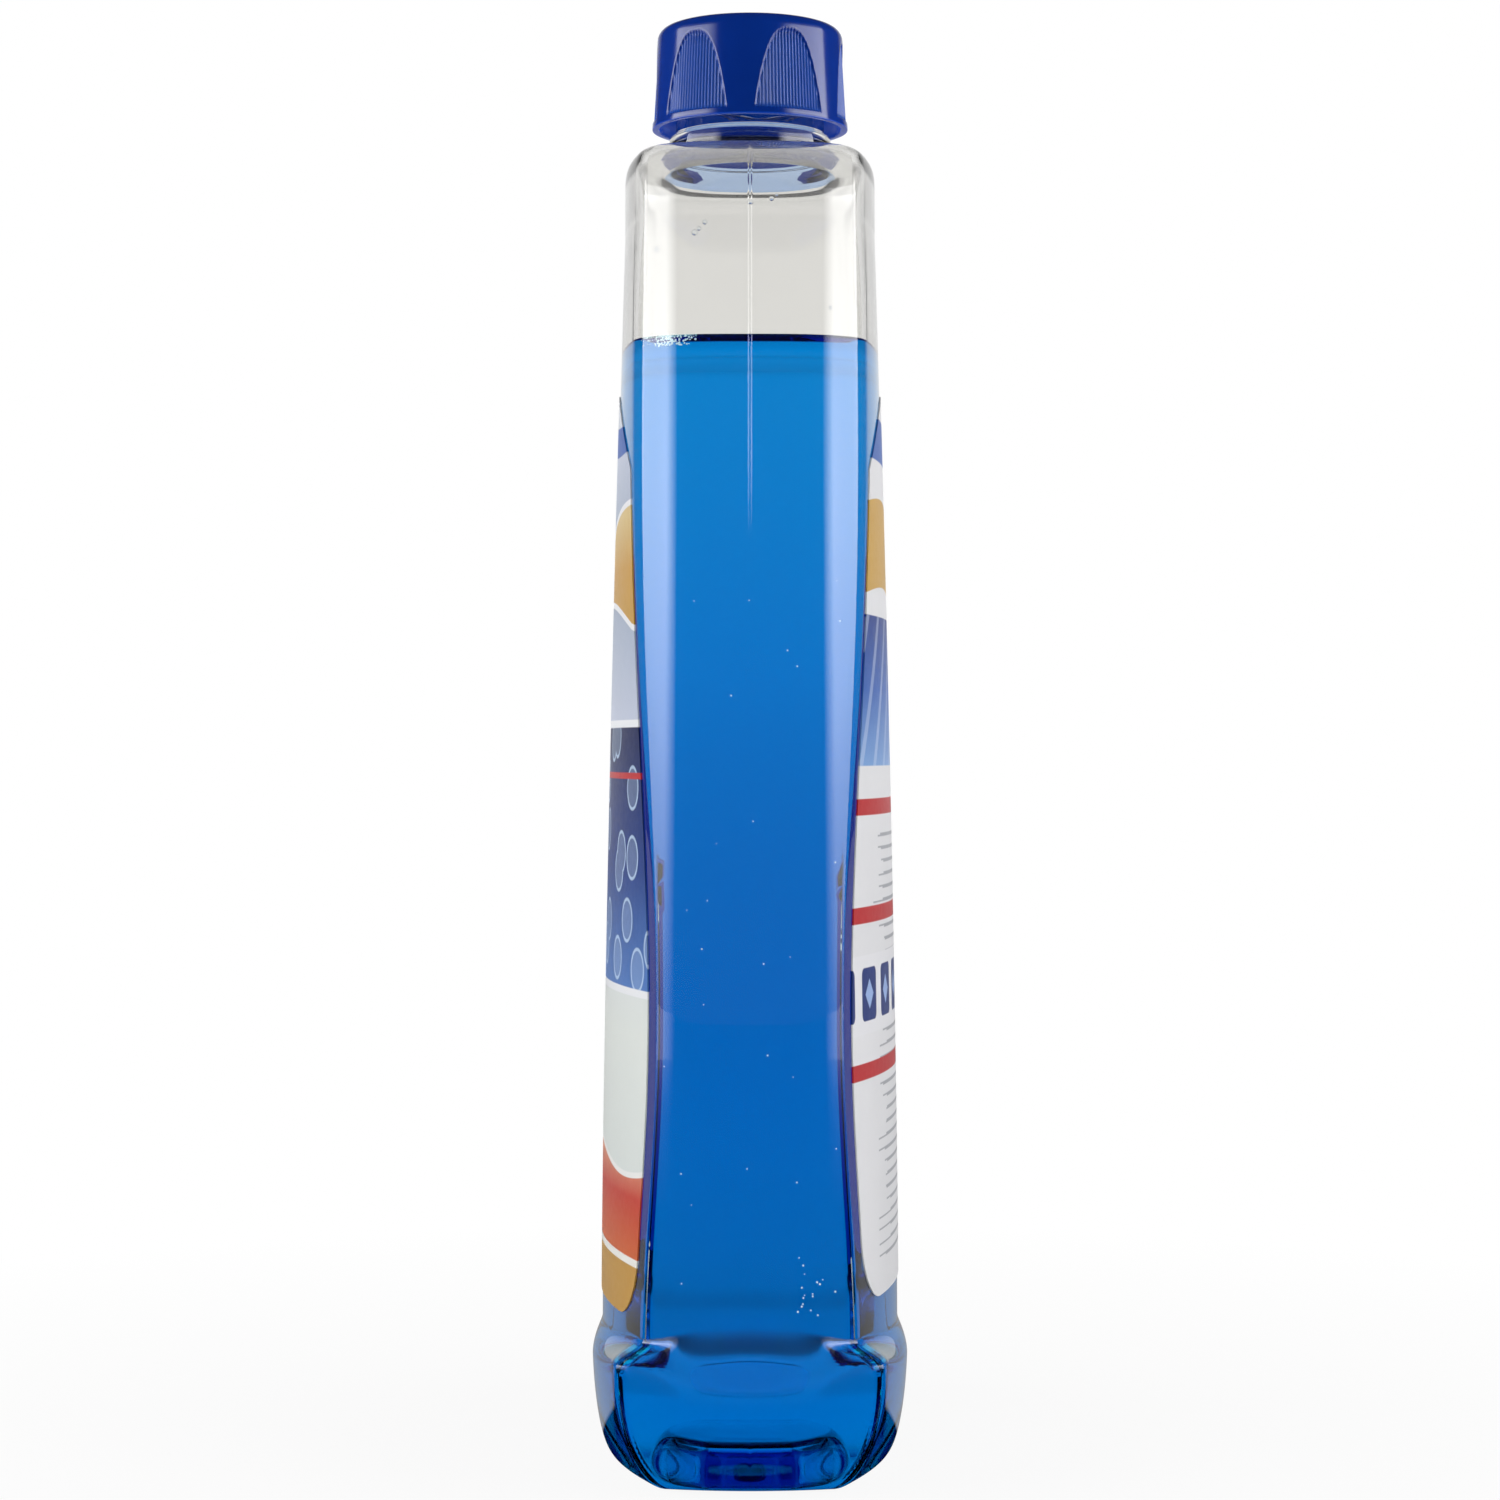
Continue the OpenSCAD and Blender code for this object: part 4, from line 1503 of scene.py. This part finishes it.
@dataclass
class Label:
    """A film label on a wide face, with an arched top and round lower corners."""

    face: Face
    low: float
    form: BottleForm = field(default_factory=BottleForm)
    top: float = 176.0
    arch: float = 14.7
    corner_r: float = 10.0
    margin: float = 0.8
    under: float = -0.04
    over: float = 0.22
    columns: int = 56
    rows: int = 110

    def half(self, z: float) -> float:
        """Returns half the label's width at a height."""
        form = self.form
        return form.half_width(z) - form.panel_drop(z) - form.corner(z) - self.margin

    def spot(self, across: float, up: float, lift: float) -> tuple[float, float, float]:
        """Finds a point of the label.

        Args:
            across: The place across, from -1 to 1.
            up: The place up, from 0 to 1.
            lift: How far it stands off the bottle.

        Returns:
            The point on the side that the label's face looks to.
        """
        wide = self.half(self.form.hip_z)
        reach = max(0.0, abs(across) * wide - wide + self.corner_r)
        corner = self.corner_r - math.sqrt(self.corner_r ** 2 - reach ** 2)
        z = mix(self.low + corner, self.top - self.arch * across ** 2, up)
        x = across * self.half(z)
        y = self.form.half_depth(z) - x * x / (2 * self.form.face_radius(z)) + lift
        return (x, y * self.face.value, z)

    def build(self, finish: PrintedFilm, glue: bpy.types.Material) -> bpy.types.Object:
        """Makes the label as a thin closed sheet.

        Args:
            finish: The label's print.
            glue: The finish of the side that is stuck to the bottle, with a painted blue glow.

        Returns:
            The piece.
        """
        ups = np.linspace(0, 1, self.rows + 1)
        acrosses = np.sin(np.linspace(-math.pi / 2, math.pi / 2, self.columns + 1))
        loops = []
        for up in ups:
            under = [self.spot(a, up, self.under) for a in acrosses]
            over = [self.spot(a, up, self.over) for a in acrosses[::-1]]
            loops.append(np.array(under + over))
        many = len(loops[0])
        form = Form()
        faces = self._faces(len(loops), many)
        form.add(np.concatenate(loops), faces)
        form.finishes = [int(all(corner % many < many // 2 for corner in face)) for face in faces]
        return form.piece(f"{self.face.name.lower()}_label_film", [finish.material(), glue], crisp=40.0)

    @staticmethod
    def _faces(levels: int, many: int) -> list[tuple[int, ...]]:
        """Numbers the faces of the sheet.

        Args:
            levels: The number of levels up the label.
            many: The number of points of a level, both sides together.

        Returns:
            The faces round the sheet, and those that close its foot and its top.
        """
        sides = [(k * many + i, k * many + (i + 1) % many, (k + 1) * many + (i + 1) % many,
                  (k + 1) * many + i) for k in range(levels - 1) for i in range(many)]
        ends = []
        for base, step in ((0, -1), ((levels - 1) * many, 1)):
            for i in range(many // 2 - 1):
                quad = (base + i, base + i + 1, base + many - 2 - i, base + many - 1 - i)
                ends.append(quad[::step])
        return sides + ends


@dataclass
class Softbox:
    """A tall curved light panel round the bottle, which only mirrors and matt surfaces see."""

    side: int
    level: float = 7.5
    radius: float = 0.9
    first: float = 40.0
    full: float = 54.0
    last: float = 103.0
    low: float = -0.02
    top: float = 0.75
    rise: tuple[tuple[float, float], ...] = (
        (-0.02, 0.12), (0.0, 0.15), (0.07, 0.2), (0.147, 0.33), (0.217, 0.43), (0.276, 0.54),
        (0.326, 0.68), (0.368, 0.78), (0.398, 0.88), (0.42, 1.0), (0.45, 1.0), (0.465, 0.6),
        (0.57, 0.55), (0.6, 0.1), (0.75, 0.08))

    def build(self) -> bpy.types.Object:
        """Makes the panel and its glow, which fades towards the table and the camera.

        Returns:
            The panel.
        """
        turns = np.radians(np.linspace(self.first, self.last, 13)) * self.side
        heights = np.linspace(self.low, self.top, 8)
        spots = [(self.radius * math.cos(t), self.radius * math.sin(t), z) for z in heights for t in turns]
        many = len(turns)
        faces = [(k * many + i, k * many + i + 1, (k + 1) * many + i + 1, (k + 1) * many + i)
                 for k in range(len(heights) - 1) for i in range(many - 1)]
        name = "softbox_left" if self.side < 0 else "softbox_right"
        panel = staged(name, spots, faces, self.glow(name))
        panel.visible_camera = False
        panel.visible_transmission = False
        panel.visible_shadow = False
        return panel

    def glow(self, name: str) -> bpy.types.Material:
        """Builds the panel's light, through which the world's own light still passes.

        Args:
            name: The material's name.

        Returns:
            The material.
        """
        material, paint = new_material(name)
        x, y, z = paint.axes()
        turn = paint.math("ARCTAN2", y * self.side, x) * (180 / math.pi)
        inwards = ((turn - self.first) / (self.full - self.first)).clamped()
        stops = [((height - self.low) / (self.top - self.low), (share, share, share, 1.0))
                 for height, share in self.rise]
        upwards = paint.ramp((z - self.low) / (self.top - self.low), stops)
        glow = paint.add("ShaderNodeEmission", {}, {"Color": upwards * inwards * self.level})
        clear = paint.add("ShaderNodeBsdfTransparent", {}, {})
        paint.finish(paint.pair("ShaderNodeAddShader", None, glow, clear))
        return material


@dataclass(frozen=True)
class PaleFloor:
    """The floor's look; angles are in degrees from the camera's side, distances in metres."""

    pale: Colour = (0.86, 0.86, 0.86, 1.0)
    paler: Colour = (0.9, 0.9, 0.9, 1.0)
    side_from: float = 40.0
    side_over: float = 14.0
    back_from: float = 103.0
    # Where the painted pool of softbox light on the floor starts and grows, and how bright it is beside and
    # behind the bottle.
    glow_from: float = 0.2
    glow_over: float = 0.66
    side_glow: float = 1.3
    back_glow: float = 0.35
    # How far the painted shadow under the bottle reaches, and its soft edge.
    under_to: float = 0.075
    under_over: float = 0.07
    shade_from: float = 0.06
    shade_over: float = 0.2
    shade: float = 0.08

    def material(self) -> bpy.types.Material:
        """Builds the floor: white far off and matt near the bottle. In reflections it carries a painted pool
        of the softboxes' light beside the bottle and is painted dark before it; seen through the bottle it
        has a painted shadow under it.

        Returns:
            The material.
        """
        material, paint = new_material("pale_floor")
        camera, glossy, through = paint.rays()
        glossy = glossy * (1 - through)
        x, y, _ = paint.axes()
        away = paint.length(x, y)
        turn = paint.math("ARCTAN2", y.absolute(), x) * (180 / math.pi)
        matt = paint.add("ShaderNodeBsdfDiffuse", {}, {
            "Color": paint.blend(paint.noise(30.0), self.pale, self.paler)})
        # Painted pool of the softboxes' light on the floor beside the bottle, seen only in reflections, with
        # a fainter one behind it.
        beside = ((turn - self.side_from) / self.side_over).clamped()
        beside = beside * ((away - self.glow_from) / self.glow_over).clamped()
        behind = turn.above(self.back_from, 6.0)
        mirrored = beside * (1 - behind) * self.side_glow + behind * self.back_glow
        # Painted shadow under the bottle, seen only through the bottle: dark under it and white further off.
        through_painted_shadow = ((away - self.under_to) / self.under_over).clamped() * 0.77
        through_painted_shadow = through_painted_shadow + ((away - 0.14) / 1.5).clamped() * 0.2 + 0.03
        white = paint.add("ShaderNodeEmission", {}, {"Color": camera + glossy * mirrored + through * through_painted_shadow})
        far = ((away - self.shade_from) / self.shade_over).clamped() * self.shade + (1 - self.shade)
        paint.finish(paint.pair("ShaderNodeMixShader", camera * far + glossy + through, matt, white))
        return material


@dataclass
class Studio:
    """The pale floor, the light round the bottle and the camera at the photograph's angle."""

    eye: tuple[float, float, float] = (0.562, 0.0, 0.1165)
    lens: float = 79.87
    room: float = 0.16
    mirrored: float = 0.05
    white_from: float = -0.78
    white_over: float = 0.2
    white_glow: float = 0.8
    dark: float = 0.04
    dark_from: float = 0.66
    dark_to: float = 0.86
    floor_half: float = 4.0
    floor_z: float = -0.0001

    def world(self) -> None:
        """Builds the room: white behind the bottle, plain light, and darkness round the camera."""
        world = bpy.data.worlds.new("studio")
        bpy.context.scene.world = world
        world.use_nodes = True
        paint = Painter(world.node_tree)
        camera, glossy, through = paint.rays()
        towards, _, _ = paint.axes("Generated")
        near = ((towards - self.dark_from) / (self.dark_to - self.dark_from)).clamped()
        behind = ((self.white_from - towards) / self.white_over).clamped()
        mirrored = self.mirrored - near * (self.mirrored - self.dark)
        mirrored = mirrored + behind * (self.white_glow - self.mirrored)
        matt = self.room + glossy * (mirrored - self.room)
        seen = paint.math("MAXIMUM", camera, through)
        strength = matt + seen * (1 - matt)
        sky = paint.add("ShaderNodeBackground", {}, {"Color": strength})
        paint.finish(sky, output="ShaderNodeOutputWorld")

    def floor(self) -> bpy.types.Object:
        """Makes the floor, which the camera sees white but for the bottle's shadow.

        Returns:
            The floor.
        """
        corners = [(x * self.floor_half, y * self.floor_half, self.floor_z)
                   for x, y in ((-1, -1), (1, -1), (1, 1), (-1, 1))]
        return staged("floor", corners, [(0, 1, 2, 3)], PaleFloor().material())

    def camera(self) -> bpy.types.Object:
        """Makes the camera, level before the narrow side.

        Returns:
            The camera.
        """
        data = bpy.data.cameras.new("camera")
        data.lens = self.lens
        data.sensor_width = 36.0
        data.clip_start = 0.01
        camera = new_object("camera", data)
        camera.location = self.eye
        camera.rotation_euler = (math.radians(90), 0.0, math.radians(90))
        bpy.context.scene.camera = camera
        return camera

    def build(self) -> None:
        """Sets the whole studio up."""
        self.world()
        self.floor()
        self.camera()
        for side in (-1, 1):
            Softbox(side).build()
        scene = bpy.context.scene
        scene.view_settings.view_transform = "Standard"
        scene.cycles.max_bounces = 24
        scene.cycles.transmission_bounces = 24
        scene.cycles.transparent_max_bounces = 16


def place(piece: bpy.types.Object, body: Body, slot: str, *nodes: str) -> None:
    """Ties a piece to its body and to the CAD nodes that it stands for, which it hides.

    Args:
        piece: The piece.
        body: The body that it rides on.
        slot: The record's material slot; not used.
        *nodes: The CAD nodes that it replaces.
    """
    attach(piece, body.value)
    if nodes:
        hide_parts(*nodes)
    faces = sum(len(p.vertices) - 2 for p in piece.data.polygons)
    LOG.info("%s rides on %s: %d triangles", piece.name, body.value, faces)


def main() -> None:
    """Builds the studio and every piece of the bottle, and writes how large they are."""
    logging.basicConfig(level=logging.INFO, format="%(message)s")
    Studio().build()
    # The third finish tints the neck's flare blue: a painted reflection of the cap.
    plastic = [ClearPlastic(), ClearPlastic(wetted=True, name="clear_plastic_wetted"),
               ClearPlastic(tint=(0.25, 0.42, 0.8, 1.0), name="clear_plastic_flare_painted_reflection")]
    place(Bottle().build(*(kind.material() for kind in plastic)), Body.BOTTLE, "clear_plastic", "bottle")
    liquid = Cleaner().build(BlueCleaner().material(), BlueCleaner(free=True).material())
    place(liquid, Body.BOTTLE, "blue_liquid", "cleaning_liquid")
    for bubbles, finish in Bubbles.scattered():
        place(bubbles.build(finish), Body.BOTTLE, "blue_liquid")
    # The cap's inside gets a painted glow in its own blue.
    inside_painted_glow = CapPlastic(name="blue_cap_inside_painted_glow", painted_glow=0.7).material()
    place(ScrewCap().build(CapPlastic().material(), inside_painted_glow), Body.CAP, "blue_cap", "cap")
    place(SealingWad().build(FoamWad().material()), Body.WAD, "white_liner", "cap_liner")
    # The labels' glue side glows with painted light in the liquid's blue.
    glue = GlueSidePaintedGlow().material()
    place(Label(Face.FRONT, 27.1).build(FrontPrint(), glue), Body.BOTTLE, "front_print", "front_label")
    place(Label(Face.BACK, 29.6).build(BackPrint(), glue), Body.BOTTLE, "back_print", "back_label")


if __name__ == "__main__":
    main()
